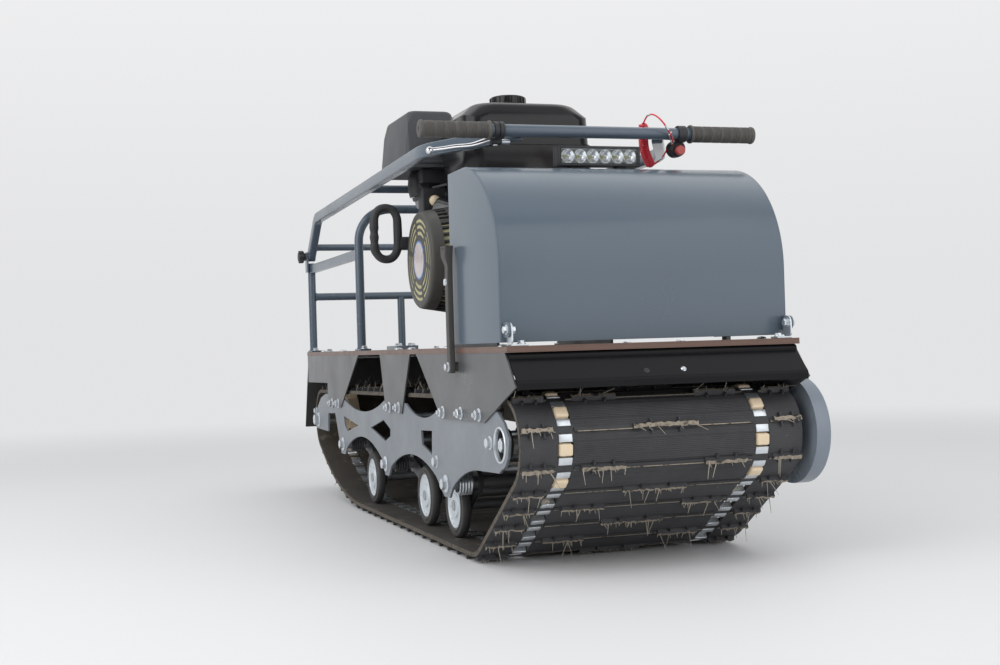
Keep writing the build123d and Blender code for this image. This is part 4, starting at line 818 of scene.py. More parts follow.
def add_bolt(bm, foot, axis, size=0.0075, washer=True, paint=0, turn=0.0):
    """Hexagon bolt head on its washer. size is the head's radius over the corners."""
    axis = Vector(axis).normalized()
    foot = Vector(foot)
    if washer:
        add_rod(bm, foot - axis * 0.0005, foot + axis * 0.0016, size * 1.3, sides=20, edge=0.0004,
                paint=paint)
        foot = foot + axis * 0.0016
    part = bmesh.new()
    bmesh.ops.create_cone(part, cap_ends=True, segments=6, radius1=size, radius2=size, depth=size * 0.72)
    bmesh.ops.rotate(part, cent=(0, 0, 0), matrix=Matrix.Rotation(turn, 3, "Z"), verts=part.verts)
    top = [face for face in part.faces if face.normal.z > 0.9]
    bmesh.ops.inset_region(part, faces=top, thickness=size * 0.12)
    bmesh.ops.translate(part, vec=(0, 0, size * 0.08), verts=[v for face in top for v in face.verts])
    join(bm, part, paint, Matrix.Translation(foot + axis * size * 0.36) @ facing(axis))


add_rod(bm, (DRIVE.x, -0.2445, DRIVE.y), (DRIVE.x, -0.2470, DRIVE.y), 0.0150, sides=32, edge=0.0006)
add_bolt(bm, (DRIVE.x, -0.2470, DRIVE.y), (0, -1, 0), 0.0115, False)
satin_grey = finish_of("satin_grey", (0.205, 0.227, 0.253), (0.178, 0.197, 0.221), (0.34, 0.48),
                       10, 1300, 0.00007)
new_piece("drive_bearing_rings", bm, "chassis", [bright_zinc, black_rubber, satin_grey],
          ["drive_bearings"])

# Wheels: pressed galvanised discs with a ring of rivets near the rim, a moulded rubber tyre and
# a bearing hub under a flat cap. Three axles carry one wheel at each end.
WHEEL_Z = 0.0773
WHEEL_INNER = 0.202
WHEEL_XS = (0.415, 0.210, -0.250)
TYRE_PROFILE = ((0.0025, 0.0432), (0.0000, 0.0465), (0.0006, 0.0495), (0.0018, 0.0503), (0.0010, 0.0515),
                (0.0020, 0.0570), (0.0045, 0.0592), (0.0080, 0.0600), (0.0120, 0.0600), (0.0155, 0.0592),
                (0.0180, 0.0570), (0.0190, 0.0515), (0.0182, 0.0503), (0.0194, 0.0495), (0.0200, 0.0465),
                (0.0175, 0.0432), (0.0025, 0.0432))
DISC_PROFILE = ((0.0030, 0.0428), (0.0176, 0.0428), (0.0180, 0.0414), (0.0158, 0.0396), (0.0146, 0.0350),
                (0.0144, 0.0270), (0.0156, 0.0235), (0.0176, 0.0220), (0.0182, 0.0170), (0.0182, 0.0103),
                (0.0020, 0.0103), (0.0020, 0.0170), (0.0034, 0.0220), (0.0056, 0.0270), (0.0060, 0.0350),
                (0.0045, 0.0396), (0.0022, 0.0414), (0.0030, 0.0428))
wheel_rubber = finish_of("wheel_rubber", (0.040, 0.041, 0.042), (0.065, 0.063, 0.060), (0.5, 0.7),
                         35, 900, 0.0002)
scuff_over(wheel_rubber, (0.16, 0.145, 0.12), 60, 0.62)
galvanised = finish_of("galvanised", (0.70, 0.75, 0.78), (0.56, 0.61, 0.65), (0.42, 0.58),
                       90, 1200, 0.00006, metal=0.4)
tyres, discs = bmesh.new(), bmesh.new()
for side in (-1, 1):
    for wheel_x in WHEEL_XS:
        foot = Vector((wheel_x, side * WHEEL_INNER, WHEEL_Z))
        add_turned(tyres, TYRE_PROFILE, foot, (0, side, 0), 64)
        add_turned(discs, DISC_PROFILE, foot, (0, side, 0), 56)
        for rivet in range(18):
            angle = pi / 9 * rivet + 0.3 * wheel_x
            spot = foot + Vector((cos(angle) * 0.0368, side * 0.0146, sin(angle) * 0.0368))
            add_rod(discs, spot, spot + Vector((0, side * 0.0020, 0)), 0.0024, sides=10, tip=0.0014)
        add_rod(discs, foot + Vector((0, side * 0.0176, 0)), foot + Vector((0, side * 0.0190, 0)), 0.0118,
                28, 0.0095)
new_piece("wheel_tyres_moulded", tyres, "chassis", [wheel_rubber], ["wheel_tyres"])
new_piece("wheel_discs_pressed", discs, "chassis", [galvanised], ["wheel_discs"])

# Suspension arms: flat steel bars from the cross pivots to the wheel axles, cut to shape and
# powder-coated dark.
PIVOTS = ((0.490, 0.126), (0.030, 0.130), (-0.400, 0.148))
dark_coat = finish_of("dark_coat", (0.060, 0.061, 0.064), (0.045, 0.046, 0.049), (0.34, 0.48),
                      14, 1100, 0.00008)
dress(dark_coat, "suspension_arms_right", "suspension_arms_left")

# Torsion springs: steel wire wound round each pivot, with one leg on the arm and one at the plate.
# The front pair is zinc-plated, the others are dark.
SPRING_OUTER = 0.240
SPRING_LENGTH = 0.033
SPRING_MEANS = (0.0200, 0.0160, 0.0160)
SPRING_WIRE = 0.0028
SPRING_TURNS = 5
TURN_STEPS = 18
coil_pitch = (SPRING_LENGTH - 2 * SPRING_WIRE) / SPRING_TURNS
bm = bmesh.new()
for side in (-1, 1):
    for (pivot_x, pivot_z), wheel_x, mean in zip(PIVOTS, WHEEL_XS, SPRING_MEANS):
        paint = int(mean < SPRING_MEANS[0])
        part = bmesh.new()
        strand = bmesh.ops.create_circle(part, cap_ends=False, segments=8, radius=SPRING_WIRE)["verts"]
        bmesh.ops.transform(part, matrix=Matrix.Translation((mean, 0, 0)), verts=strand)
        ring = part.verts[:] + part.edges[:]
        bmesh.ops.rotate(part, cent=(mean, 0, 0), matrix=Matrix.Rotation(pi / 2, 3, "X"), verts=strand)
        bmesh.ops.spin(part, geom=ring, cent=(0, 0, 0), axis=(0, 0, 1), angle=2 * pi * SPRING_TURNS,
                       steps=SPRING_TURNS * TURN_STEPS, dvec=(0, 0, coil_pitch / TURN_STEPS))
        bmesh.ops.holes_fill(part, edges=part.edges)
        start = Vector((pivot_x, side * (SPRING_OUTER - SPRING_WIRE), pivot_z))
        join(bm, part, paint, Matrix.Translation(start) @ facing((0, -side, 0)))
        along = Vector((wheel_x - pivot_x, 0, WHEEL_Z - pivot_z)).normalized()
        upright = Vector((0, 1, 0)).cross(along)
        upright = upright if upright.z > 0 else -upright
        leg = Vector((pivot_x, side * 0.2085, pivot_z)) + upright * mean
        add_rod(bm, leg, leg + along * 0.034, SPRING_WIRE, sides=8, edge=0.0006, paint=paint)
        outer_leg = Vector((pivot_x, side * 0.2375, pivot_z)) - upright * mean * 0.2 - along * mean
        add_rod(bm, outer_leg, outer_leg + upright * 0.036, SPRING_WIRE, sides=8, edge=0.0006, paint=paint)
new_piece("torsion_spring_coils", bm, "chassis", [bright_zinc, dark_coat], ["torsion_springs"])

# Side plates and skirts: laser-cut steel plates in satin grey, hung from bent dark skirts that
# are bolted under the deck. Zinc-plated bolts hold plates, pivots and tensioners.
SKIRT_BOLTS = ((-0.507, 0.244), (-0.433, 0.245), (0.087, 0.252), (0.166, 0.254), (0.492, 0.256),
               (0.604, 0.258),
               (0.710, 0.259))
PLATE_BOLTS = ((0.430, 0.162), (0.757, 0.215))
skirt_coat = finish_of("skirt_coat", (0.086, 0.088, 0.092), (0.073, 0.075, 0.079), (0.26, 0.38),
                       9, 1300, 0.00007)
dress(satin_grey, "side_plate_right", "side_plate_left")
dress(skirt_coat, "skirt_right", "skirt_left")
bm = bmesh.new()
for side in (-1, 1):
    for index, (bolt_x, bolt_z) in enumerate(SKIRT_BOLTS):
        add_bolt(bm, (bolt_x, side * SKIRT_FACE, bolt_z), (0, side, 0), 0.0090, True, 0, index * 0.7)
        add_rod(bm, (bolt_x, side * 0.262, bolt_z), (bolt_x, side * 0.2710, bolt_z), 0.0042, sides=10,
                edge=0.0006)
    for index, (bolt_x, bolt_z) in enumerate(PLATE_BOLTS):
        add_bolt(bm, (bolt_x, side * PLATE_FACE, bolt_z), (0, side, 0), 0.0090, True, 0, index * 0.9)
    for index, (pivot_x, pivot_z) in enumerate(PIVOTS):
        add_rod(bm, (pivot_x, side * 0.2545, pivot_z), (pivot_x, side * 0.2575, pivot_z), 0.0165, sides=28,
                edge=0.0006)
        add_bolt(bm, (pivot_x, side * 0.2575, pivot_z), (0, side, 0), 0.0105, False, 0, index * 0.5)
    add_rod(bm, (IDLER.x, side * 0.2545, IDLER.y), (IDLER.x, side * 0.2575, IDLER.y), 0.0190, sides=28,
            edge=0.0006)
    add_bolt(bm, (IDLER.x, side * 0.2575, IDLER.y), (0, side, 0), 0.0140, False, 0, 0.2)
    add_bolt(bm, (IDLER.x - 0.030, side * PLATE_FACE, IDLER.y + 0.022), (0, side, 0), 0.0070)
new_piece("plate_bolts", bm, "chassis", [bright_zinc])

# Front panel: gloss black sheet bent forward under the deck, with a rolled bead along its top,
# one small screw and an empty hole, which is a thin black disc on the face: painted shade.
gloss_black = finish_of("gloss_black", (0.008, 0.008, 0.009), (0.012, 0.012, 0.013), (0.16, 0.26),
                        7, 900, 0.00003, gleam=0.12)
dress(gloss_black, "front_panel")
bm = bmesh.new()
add_turned(bm, ((0, 0.0052), (0.0012, 0.0050), (0.0030, 0.0030), (0.0032, 0.0)), (0.8886, 0.033, 0.327),
           (0.75, 0, 0.66), 16)
# The empty hole: a thin black rubber disc on the panel, painted shade standing for the hole's depth.
add_turned(bm, ((0, 0.0052), (0.0004, 0.0050), (0.0004, 0.0)), (0.8892, -0.032, 0.327), (0.75, 0, 0.66), 16,
           1)
new_piece("panel_screws", bm, "chassis", [bright_zinc, black_rubber])

# Deck: one board of film-faced birch plywood, its layers showing along the sawn edges,
# and carriage bolts that hold the skirts.
DECK_TOP = 0.372
PLY_MIDDLE = 0.367
PLY_HALF = 0.00488
LAYERS_PER_METRE = 360
EDGE_TONES = ((0.125, 0.064, 0.045, 1), (0.085, 0.041, 0.030, 1), (0.165, 0.096, 0.070, 1))
ply = finish_of("film_faced_ply", (0.085, 0.042, 0.030), (0.060, 0.030, 0.022), (0.30, 0.45),
                22, 500, 0.0001)
tree = ply.node_tree
place = add_node(tree, "TexCoord")
split = add_node(tree, "SeparateXYZ")
layers = add_node(tree, "Math", {1: LAYERS_PER_METRE}, operation="MULTIPLY")
band = add_node(tree, "Math", {1: 1}, operation="PINGPONG")
stretch = add_node(tree, "Mapping", {"Scale": (30, 30, 500)})
edge_grain = add_node(tree, "TexNoise", {"Scale": 1, "Detail": 4})
edge_wood = add_node(tree, "Mix", {"A": EDGE_TONES[0], "B": EDGE_TONES[1]}, data_type="RGBA")
edge_dirt = add_node(tree, "Mix", {"B": EDGE_TONES[2]}, data_type="RGBA")
off_film = add_node(tree, "Math", {1: PLY_MIDDLE, 2: PLY_HALF}, operation="COMPARE")
film_or_edge = add_node(tree, "Mix", data_type="RGBA")
wire(
    tree,
    (place, "Object", split, "Vector"),
    (place, "Object", stretch, "Vector"),
    (stretch, "Vector", edge_grain, "Vector"),
    (split, "Z", layers, 0),
    (layers, 0, band, 0),
    (band, 0, edge_wood, "Factor"),
    (edge_grain, "Fac", edge_dirt, "Factor"),
    (edge_wood, "Result", edge_dirt, "A"),
    (split, "Z", off_film, 0),
    (off_film, 0, film_or_edge, "Factor"),
    (tree.nodes["coat"], "Colour", film_or_edge, "A"),
    (edge_dirt, "Result", film_or_edge, "B"),
    (film_or_edge, "Result", tree.nodes["Principled BSDF"], "Base Color"),
)
dress(ply, "deck")
bm = bmesh.new()
for side in (-1, 1):
    for bolt_x in (-0.70, -0.46, 0.09, 0.20, 0.46, 0.78):
        add_turned(bm, ((0, 0.0090), (0.0012, 0.0088), (0.0034, 0.0055), (0.0042, 0.0)),
                   (bolt_x, side * 0.236, DECK_TOP), (0, 0, 1), 20)
new_piece("deck_bolts", bm, "chassis", [bright_zinc])

# Drive case: a flat pressed-steel case on the left, over the chain from the jackshaft to the
# drive axle, its coat much paler than the tubes' slate: the tone of its front-lit rim, painted light.
CASE_ENDS = ((0.808, 0.214, 0.091), (0.672, 0.300, 0.060))
CASE_INNER = 0.268
CASE_DEPTH = 0.028
slate_coat = finish_of("slate_coat", (0.090, 0.120, 0.155), (0.078, 0.105, 0.137), (0.20, 0.30),
                       6, 1500, 0.00006, clear=0.2)
# Case colour: the tone of the case's front-lit rim, laid over the whole case as a painted highlight.
case_coat_painted_light = finish_of("case_coat_painted_light", (0.215, 0.250, 0.298), (0.190, 0.222, 0.266), (0.26, 0.36),
                      6, 1500, 0.00006)


def hull_plate(discs, depth, edge, steps=3):
    """Flat shape round a set of discs (x, z, radius) in the side view, its outer rim rounded.

    It lies on y = 0 and goes to +y.
    """
    part = bmesh.new()
    for disc_x, disc_z, disc_radius in discs:
        ring = bmesh.ops.create_circle(part, cap_ends=False, segments=64, radius=disc_radius)["verts"]
        bmesh.ops.rotate(part, cent=(0, 0, 0), matrix=Matrix.Rotation(pi / 2, 3, "X"), verts=ring)
        bmesh.ops.translate(part, vec=(disc_x, 0, disc_z), verts=ring)
    bmesh.ops.delete(part, geom=part.edges[:], context="EDGES_FACES")
    bmesh.ops.convex_hull(part, input=part.verts[:])
    bmesh.ops.dissolve_limit(part, angle_limit=0.001, verts=part.verts[:], edges=part.edges[:])
    loose = [v for v in part.verts if not v.link_faces]
    bmesh.ops.delete(part, geom=loose, context="VERTS")
    push_out(part, part.faces[:], (0, depth, 0), keep=False)
    if edge:
        rim = [e for e in part.edges if all(v.co.y > depth - 1e-6 for v in e.verts)]
        round_edges(part, rim, edge, steps)
    return part


bm = bmesh.new()
join(bm, hull_plate(CASE_ENDS, CASE_DEPTH, 0.004), 0, Matrix.Translation((0, CASE_INNER, 0)))
join(bm, hull_plate([(x, z, r * 0.72) for x, z, r in CASE_ENDS], 0.002, 0.0012), 0,
     Matrix.Translation((0, CASE_INNER + CASE_DEPTH - 0.0003, 0)))
for x, z, r in CASE_ENDS:
    for spoke in range(4):
        angle = pi / 4 + pi / 2 * spoke
        add_bolt(bm, (x + cos(angle) * r * 0.85, CASE_INNER + CASE_DEPTH, z + sin(angle) * r * 0.85),
                 (0, 1, 0),
                 0.0062, True, 1, spoke)
new_piece("drive_case_cover", bm, "chassis", [case_coat_painted_light, bright_zinc], ["drive_case"])

# Mud flap and tow hitch: a black rubber sheet clamped under the deck's rear edge by a steel strip,
# and a coated steel tongue for the sled's pin.
dress(black_rubber, "mud_flap")
dress(slate_coat, "tow_hitch")
bm = bmesh.new()
add_block(bm, (-0.8215, -0.240, 0.352), (-0.8195, 0.240, 0.3585), 0.0006, 1)
for bolt_y in (-0.20, -0.10, 0.10, 0.20):
    add_bolt(bm, (-0.797 - 0.008, bolt_y, DECK_TOP), (0, 0, 1), 0.0068)
for bolt_x in (-0.755, -0.775):
    for bolt_y in (-0.018, 0.018):
        add_bolt(bm, (bolt_x, bolt_y, 0.382), (0, 0, 1), 0.0068)
new_piece("rear_bolts", bm, "chassis", [bright_zinc])

# Rack: round steel tubes bent and welded into posts, arch, rails and a crossbar. Flat feet at
# their ends are bolted to the deck, and a weld bead runs round each joint.
TUBE = 0.010
RACK_Y = 0.245
dress(slate_coat, "rack_posts", "rack_crossbar", "rack_arch", "rack_rails")
bm = bmesh.new()


def add_weld(bm, centre, axis, radius):
    """Bead of weld round a tube."""
    add_turned(bm, ((-0.0022, radius - 0.001), (-0.0016, radius + 0.0012), (0, radius + 0.0018),
                    (0.0016, radius + 0.0012), (0.0022, radius - 0.001)), centre, axis, 20)


for side in (-1, 1):
    for foot_x in (-0.797, -0.215):
        add_block(bm, (foot_x - 0.016, side * RACK_Y - 0.013, DECK_TOP),
                  (foot_x + 0.042, side * RACK_Y + 0.013, DECK_TOP + 0.004), 0.0012, 2)
        add_weld(bm, (foot_x, side * RACK_Y, DECK_TOP + 0.005), (0, 0, 1), TUBE)
        add_bolt(bm, (foot_x + 0.028, side * RACK_Y, DECK_TOP + 0.004), (0, 0, 1), 0.0066, True, 1)
    add_weld(bm, (-0.797, side * (RACK_Y - TUBE), 0.520), (0, 1, 0), TUBE)
    for end_x, reach in ((-0.797, 1), (-0.215, -1)):
        plate_x = end_x + reach * 0.0095
        add_block(bm, (plate_x - 0.002, side * RACK_Y - 0.007, 0.5825),
                  (plate_x + 0.002, side * RACK_Y + 0.007, 0.6055), 0.0015, 2)
new_piece("rack_feet", bm, "chassis", [slate_coat, bright_zinc])

# Engine stand and block: a bent steel channel on the deck carries the cast aluminium crankcase.
# The finned cylinder leans back, with a rocker cover on its head and a spark plug.
CRANK = Vector((0.253, 0, 0.548))
CYLINDER_LEAN = radians(25)
cast_aluminium = finish_of("cast_aluminium", (0.40, 0.40, 0.41), (0.28, 0.28, 0.29), (0.42, 0.60),
                           30, 420, 0.0003, metal=0.9)
dress(dark_coat, "engine_stand")
bm = bmesh.new()
add_block(bm, (0.138, -0.092, 0.424), (0.368, 0.120, 0.640), 0.016, 4)
add_block(bm, (0.128, -0.100, 0.424), (0.378, 0.112, 0.434), 0.003, 2)
add_turned(bm, ((0, 0.088), (0.006, 0.086), (0.010, 0.078), (0.010, 0.034), (0.022, 0.030), (0.024, 0.022),
                (0.024, 0)),
           (CRANK.x, 0.120, CRANK.z), (0, 1, 0), 56)
for spoke in range(6):
    angle = pi / 6 + pi / 3 * spoke
    add_bolt(bm, (CRANK.x + cos(angle) * 0.081, 0.1265, CRANK.z + sin(angle) * 0.081), (0, 1, 0), 0.0062,
             False, 1, spoke)
for rib_x in (0.175, 0.215, 0.295, 0.335):
    add_block(bm, (rib_x - 0.003, -0.094, 0.436), (rib_x + 0.003, 0.122, 0.470), 0.0015, 1)
lean = Matrix.Translation(CRANK) @ Matrix.Rotation(-(pi / 2 - CYLINDER_LEAN), 4, "Y")
add_block(bm, (-0.052, -0.060, 0.06), (0.052, 0.060, 0.196), 0.012, 3, 0, lean)
for fin in range(9):
    fin_z = 0.098 + fin * 0.0105
    add_block(bm, (-0.064, -0.074, fin_z), (0.064, 0.074, fin_z + 0.0036), 0.0012, 1, 0, lean)
add_block(bm, (-0.065, -0.075, 0.192), (0.065, 0.075, 0.204), 0.003, 2, 0, lean)
add_block(bm, (-0.046, -0.058, 0.202), (0.046, 0.058, 0.2245), 0.010, 4, 2, lean)
for corner_x in (-0.056, 0.056):
    for corner_y in (-0.066, 0.066):
        add_bolt(bm, lean @ Vector((corner_x, corner_y, 0.204)), lean.to_3x3() @ Vector((0, 0, 1)), 0.0058,
                 False, 1)
for foot_x in (0.150, 0.356):
    for foot_y in (-0.086, 0.098):
        add_bolt(bm, (foot_x, foot_y, 0.434), (0, 0, 1), 0.0075, True, 1, foot_x)
add_rod(bm, (0.368, 0.060, 0.470), (0.388, 0.060, 0.480), 0.013, 20, 0.011, 0.002, 3)
for leg_x in (0.238, 0.312):
    for leg_y in (-0.070, 0.070):
        add_rod(bm, (leg_x, leg_y, 0.636), (leg_x, leg_y, 0.652), 0.016, 18, 0.013, 0.002)
enamel_black = finish_of("enamel_black", (0.007, 0.007, 0.008), (0.011, 0.011, 0.012), (0.14, 0.26),
                         9, 900, 0.00005, clear=0.1, gleam=0.35)
black_plastic = finish_of("black_plastic", (0.030, 0.031, 0.033), (0.022, 0.023, 0.025), (0.42, 0.56),
                          12, 1600, 0.00016)
new_piece("engine_castings", bm, "chassis",
          [cast_aluminium, bright_zinc, enamel_black, black_plastic], ["engine_block"])

# Fan shroud: a pressed steel cowl in gloss black round the flywheel. It leads the air up to the
# cylinder and is screwed to the crankcase.
bm = bmesh.new()
join(bm, hull_plate(((CRANK.x, CRANK.z, 0.118), (0.172, 0.616, 0.068)), 0.076, 0.014, 4), 0,
     Matrix.Translation((0, -0.092, 0)) @ Matrix.Scale(-1, 4, (0, 1, 0)))
for spoke in range(5):
    angle = pi / 5 + 2 * pi / 5 * spoke
    add_bolt(bm, (CRANK.x + cos(angle) * 0.1015, -0.168, CRANK.z + sin(angle) * 0.1015), (0, -1, 0), 0.0058,
             True, 1, spoke)
new_piece("fan_cowl", bm, "chassis", [enamel_black, bright_zinc], ["fan_shroud"])

# Recoil starter: a slotted plastic cover, grey-black outside and olive in its depth. Rings and
# radial bars leave rows of slots on the face, and the sloping side wall is slotted too.
# Its round label is plain.
RECOIL_FACE = -0.230
RECOIL_SLOPE = radians(9)
recoil_plastic = finish_of("recoil_plastic", (0.070, 0.068, 0.063), (0.052, 0.050, 0.047), (0.40, 0.55),
                           25, 1300, 0.0002)
olive_depth = finish_of("olive_depth", (0.50, 0.47, 0.27), (0.38, 0.355, 0.20), (0.5, 0.7), 40, 900, 0.0001)
bm = bmesh.new()
face = (CRANK.x, RECOIL_FACE, CRANK.z)
out = (0, -1, 0)
add_turned(bm, ((-0.062, 0.1056), (-0.046, 0.1033), (-0.046, 0.0985), (-0.062, 0.1000), (-0.062, 0.1056)),
           face, out, 72, 3)
add_turned(bm, ((-0.026, 0.1000), (-0.008, 0.0972), (-0.0030, 0.0958), (-0.0008, 0.0935), (0, 0.0905),
                (0, 0.0815),
                (-0.0015, 0.0805), (-0.008, 0.0805), (-0.012, 0.0920), (-0.026, 0.0950), (-0.026, 0.1000)),
           face, out, 72)
add_turned(bm, ((-0.060, 0.0985), (-0.018, 0.0938), (-0.0012, 0.0880), (-0.0012, 0)), face, out, 56, 1)
for inner, outer in ((0.0690, 0.0752), (0.0565, 0.0630), (0.0000, 0.0500)):
    add_turned(bm, ((-0.008, inner), (-0.0008, inner + 0.0004 * (inner > 0)),
                    (0, inner + 0.001 * (inner > 0)),
                    (0, outer - 0.001), (-0.0008, outer - 0.0002), (-0.008, outer), (-0.008, inner)), face,
               out, 64)
for bar in range(6):
    turn = Matrix.Translation(face) @ Matrix.Rotation(pi / 3 * bar + 0.26, 4, "Y")
    add_block(bm, (0.049, 0.0004, -0.0050), (0.0825, 0.0085, 0.0050), 0.0010, 2, 0, turn)
for bar in range(40):
    half = 0.0052 if bar % 5 == 0 else 0.0026
    turn = Matrix.Translation(face) @ Matrix.Rotation(2 * pi / 40 * bar, 4, "Y")
    turn = turn @ Matrix.Translation((0.0986, 0.036, 0)) @ Matrix.Rotation(-RECOIL_SLOPE, 4, "Z")
    add_block(bm, (-0.0030, -0.0110, -half), (0.0028, 0.0110, half), 0.0006, 1, 3, turn)
add_turned(bm, ((0, 0.0385), (0.0005, 0.0383), (0.0006, 0.0350)), face, out, 48, 2)
add_turned(bm, ((0.0006, 0.0350), (0.0006, 0.0)), face, out, 48, 4)
label_rim = finish_of("label_rim", (0.10, 0.22, 0.50), (0.08, 0.19, 0.45), (0.25, 0.35), 40, 900, 0.00002)
label_pale = finish_of("label_pale", (0.55, 0.50, 0.50), (0.50, 0.42, 0.42), (0.25, 0.35), 40, 900, 0.00002)
new_piece("recoil_slotted_cover", bm, "chassis",
          [recoil_plastic, olive_depth, label_rim, black_plastic, label_pale], ["recoil_cover"])

# Starter handle: a moulded black pull loop with finger grooves, drawn up against the cover
# by the starter rope.
HANDLE_MIDDLE = Vector((0.1480, -0.270, 0.610))
HANDLE_RING = ((-0.0245, 0.018, 1.0), (-0.0235, 0.036, 0.95), (-0.012, 0.0525, 0.9), (0.012, 0.0525, 0.9),
               (0.0245, 0.036, 0.95), (0.0250, 0.014, 1.0), (0.0250, -0.014, 1.0), (0.0240, -0.036, 0.95),
               (0.011, -0.0530, 0.9), (-0.011, -0.0530, 0.9), (-0.0235, -0.037, 0.95),
               (-0.0245, -0.028, 1.08),
               (-0.0245, -0.018, 0.82), (-0.0245, -0.008, 1.10), (-0.0245, 0.002, 0.82),
               (-0.0245, 0.011, 1.08))


def add_smooth_tube(bm, points, radius, closed=False, scales=None, paint=0, sides=3):
    """Round tube along a smooth line through or near these points."""
    route = route_curve("tube", points)
    spline = route.data.splines[0]
    spline.use_cyclic_u = closed
    if closed:
        spline.use_endpoint_u = False
    for index, scale in enumerate(scales or ()):
        spline.points[index].radius = scale
    route.data.resolution_u = 6
    route.data.bevel_depth = radius
    route.data.bevel_resolution = sides
    route.data.use_fill_caps = not closed
    mesh = curve_mesh(route)
    part = bmesh.new()
    part.from_mesh(mesh)
    bpy.data.meshes.remove(mesh)
    bmesh.ops.remove_doubles(part, verts=part.verts, dist=1e-6)
    join(bm, part, paint)


bm = bmesh.new()
add_smooth_tube(bm, [HANDLE_MIDDLE + Vector((0, y, z)) for y, z, scale in HANDLE_RING], 0.0093, True,
                [scale for y, z, scale in HANDLE_RING], sides=4)
add_block(bm, (0.1400, -0.252, 0.577), (0.1565, -0.208, 0.603), 0.005, 3)
add_rod(bm, (0.150, -0.214, 0.590), (0.164, -0.205, 0.590), 0.0105, 20, 0.0085, 0.0015)
new_piece("starter_pull_loop", bm, "chassis", [black_plastic], ["starter_handle"])

# Fuel tank: a pressed steel tank in gloss black with sloping shoulders and a welded seam flange,
# on four legs that stand on the engine.
TANK_LOW = Vector((0.118, -0.148, 0.722))
TANK_HIGH = Vector((0.328, 0.120, 0.857))
TANK_SHOULDER = 0.831
TANK_SEAM = 0.772
SEAM_HALF = Vector((0.109, 0.138, 0.0013))
# Heights where the tank is drawn in, and its share of the full length and width there
TANK_LEVELS = ((TANK_HIGH.z, 0.86, 0.775), (TANK_SHOULDER, 0.985, 0.985), (TANK_LOW.z, 0.95, 0.95))


def uprights(part, least):
    """Edges of a shape that rise by more than this."""
    return [e for e in part.edges if abs(e.verts[0].co.z - e.verts[1].co.z) > least]


def rim_at(part, level):
    """Edges of a shape that lie at this height and turn a corner."""
    return [e for e in part.edges
            if all(abs(v.co.z - level) < 1e-4 for v in e.verts) and e.calc_face_angle(0) > 0.2]


part = new_block(TANK_LOW, TANK_HIGH)
for cut_z in (TANK_SEAM, TANK_SHOULDER):
    slice_at(part, (0, 0, cut_z), (0, 0, 1))
tank_middle = (TANK_LOW + TANK_HIGH) / 2
for level, share_x, share_y in TANK_LEVELS:
    ring = [v for v in part.verts if abs(v.co.z - level) < 1e-4]
    bmesh.ops.scale(part, vec=(share_x, share_y, 1), verts=ring,
                    space=Matrix.Translation((-tank_middle.x, -tank_middle.y, 0)))
round_edges(part, uprights(part, 0.02), 0.036, 6)
round_edges(part, rim_at(part, TANK_HIGH.z), 0.012, 4)
round_edges(part, rim_at(part, TANK_SHOULDER), 0.013, 4)
bm = bmesh.new()
join(bm, part)
seam_middle = Vector((tank_middle.x, tank_middle.y, TANK_SEAM))
seam = new_block(seam_middle - SEAM_HALF, seam_middle + SEAM_HALF)
round_edges(seam, uprights(seam, 0.001), 0.040, 6)
join(bm, seam)
for leg_x in (0.238, 0.312):
    for leg_y in (-0.070, 0.070):
        add_block(bm, (leg_x - 0.011, leg_y - 0.011, 0.640), (leg_x + 0.011, leg_y + 0.011, 0.726), 0.003,
                  2)
        add_block(bm, (leg_x - 0.012, leg_y - 0.018, 0.716), (leg_x + 0.012, leg_y + 0.018, 0.7235), 0.002,
                  1)
new_piece("fuel_tank_shell", bm, "chassis", [enamel_black], ["fuel_tank"], 40)

# Tank cap: a moulded plastic screw cap in gloss black with grip ribs round its side, over the
# filler's flange.
CAP_FOOT = (0.223, -0.024, 0.857)
bm = bmesh.new()
add_turned(bm, ((-0.002, 0), (-0.002, 0.040), (0.002, 0.0395), (0.004, 0.0345), (0.007, 0.0345),
                (0.007, 0.0355), (0.0217, 0.0355),
                (0.0245, 0.0340), (0.0258, 0.0300), (0.0250, 0.0240), (0.0244, 0.0)), CAP_FOOT, (0, 0, 1),
           64)
for rib in range(14):
    turn = Matrix.Translation(CAP_FOOT) @ Matrix.Rotation(2 * pi / 14 * rib, 4, "Z")
    add_block(bm, (0.0330, -0.0050, 0.0072), (0.0374, 0.0050, 0.0230), 0.0014, 2, 0, turn)
new_piece("tank_cap_ribbed", bm, "chassis", [enamel_black], ["tank_cap"])

# Air filter: a large moulded plastic box with a lid and a rounded shoulder, held on the carburettor
# by a wing nut on top.
FILTER_LOW = Vector((-0.120, -0.215, 0.753))
FILTER_HIGH = Vector((0.112, -0.090, 0.874))
FILTER_LID = 0.848
FILTER_X = (FILTER_LOW.x + FILTER_HIGH.x) / 2
FILTER_Y = -0.1525
part = new_block(FILTER_LOW, FILTER_HIGH)
slice_at(part, (0, 0, FILTER_LID), (0, 0, 1))
for vert in part.verts:
    if vert.co.z > FILTER_HIGH.z - 0.001:
        vert.co.x = FILTER_X + (vert.co.x - FILTER_X) * 0.85
        vert.co.y = FILTER_Y + (vert.co.y - FILTER_Y) * 0.76
round_edges(part, uprights(part, 0.02), 0.016, 4)
round_edges(part, rim_at(part, FILTER_HIGH.z), 0.008, 3)
round_edges(part, rim_at(part, FILTER_LID), 0.008, 3)
bm = bmesh.new()
join(bm, part)
add_block(bm, (-0.1215, -0.2165, 0.7600), (0.1135, -0.0885, 0.7665), 0.0022, 2)
add_turned(bm, ((0, 0.011), (0.003, 0.0105), (0.005, 0.006), (0.010, 0.005), (0.010, 0)),
           (FILTER_X, -0.152, 0.8735), (0, 0, 1), 24, 1)
add_block(bm, (FILTER_X - 0.014, -0.1535, 0.8800), (FILTER_X + 0.014, -0.1505, 0.8875), 0.0012, 2, 1)
filter_plastic = finish_of("filter_plastic", (0.060, 0.065, 0.072), (0.050, 0.054, 0.060), (0.44, 0.58),
                           10, 1500, 0.00022)
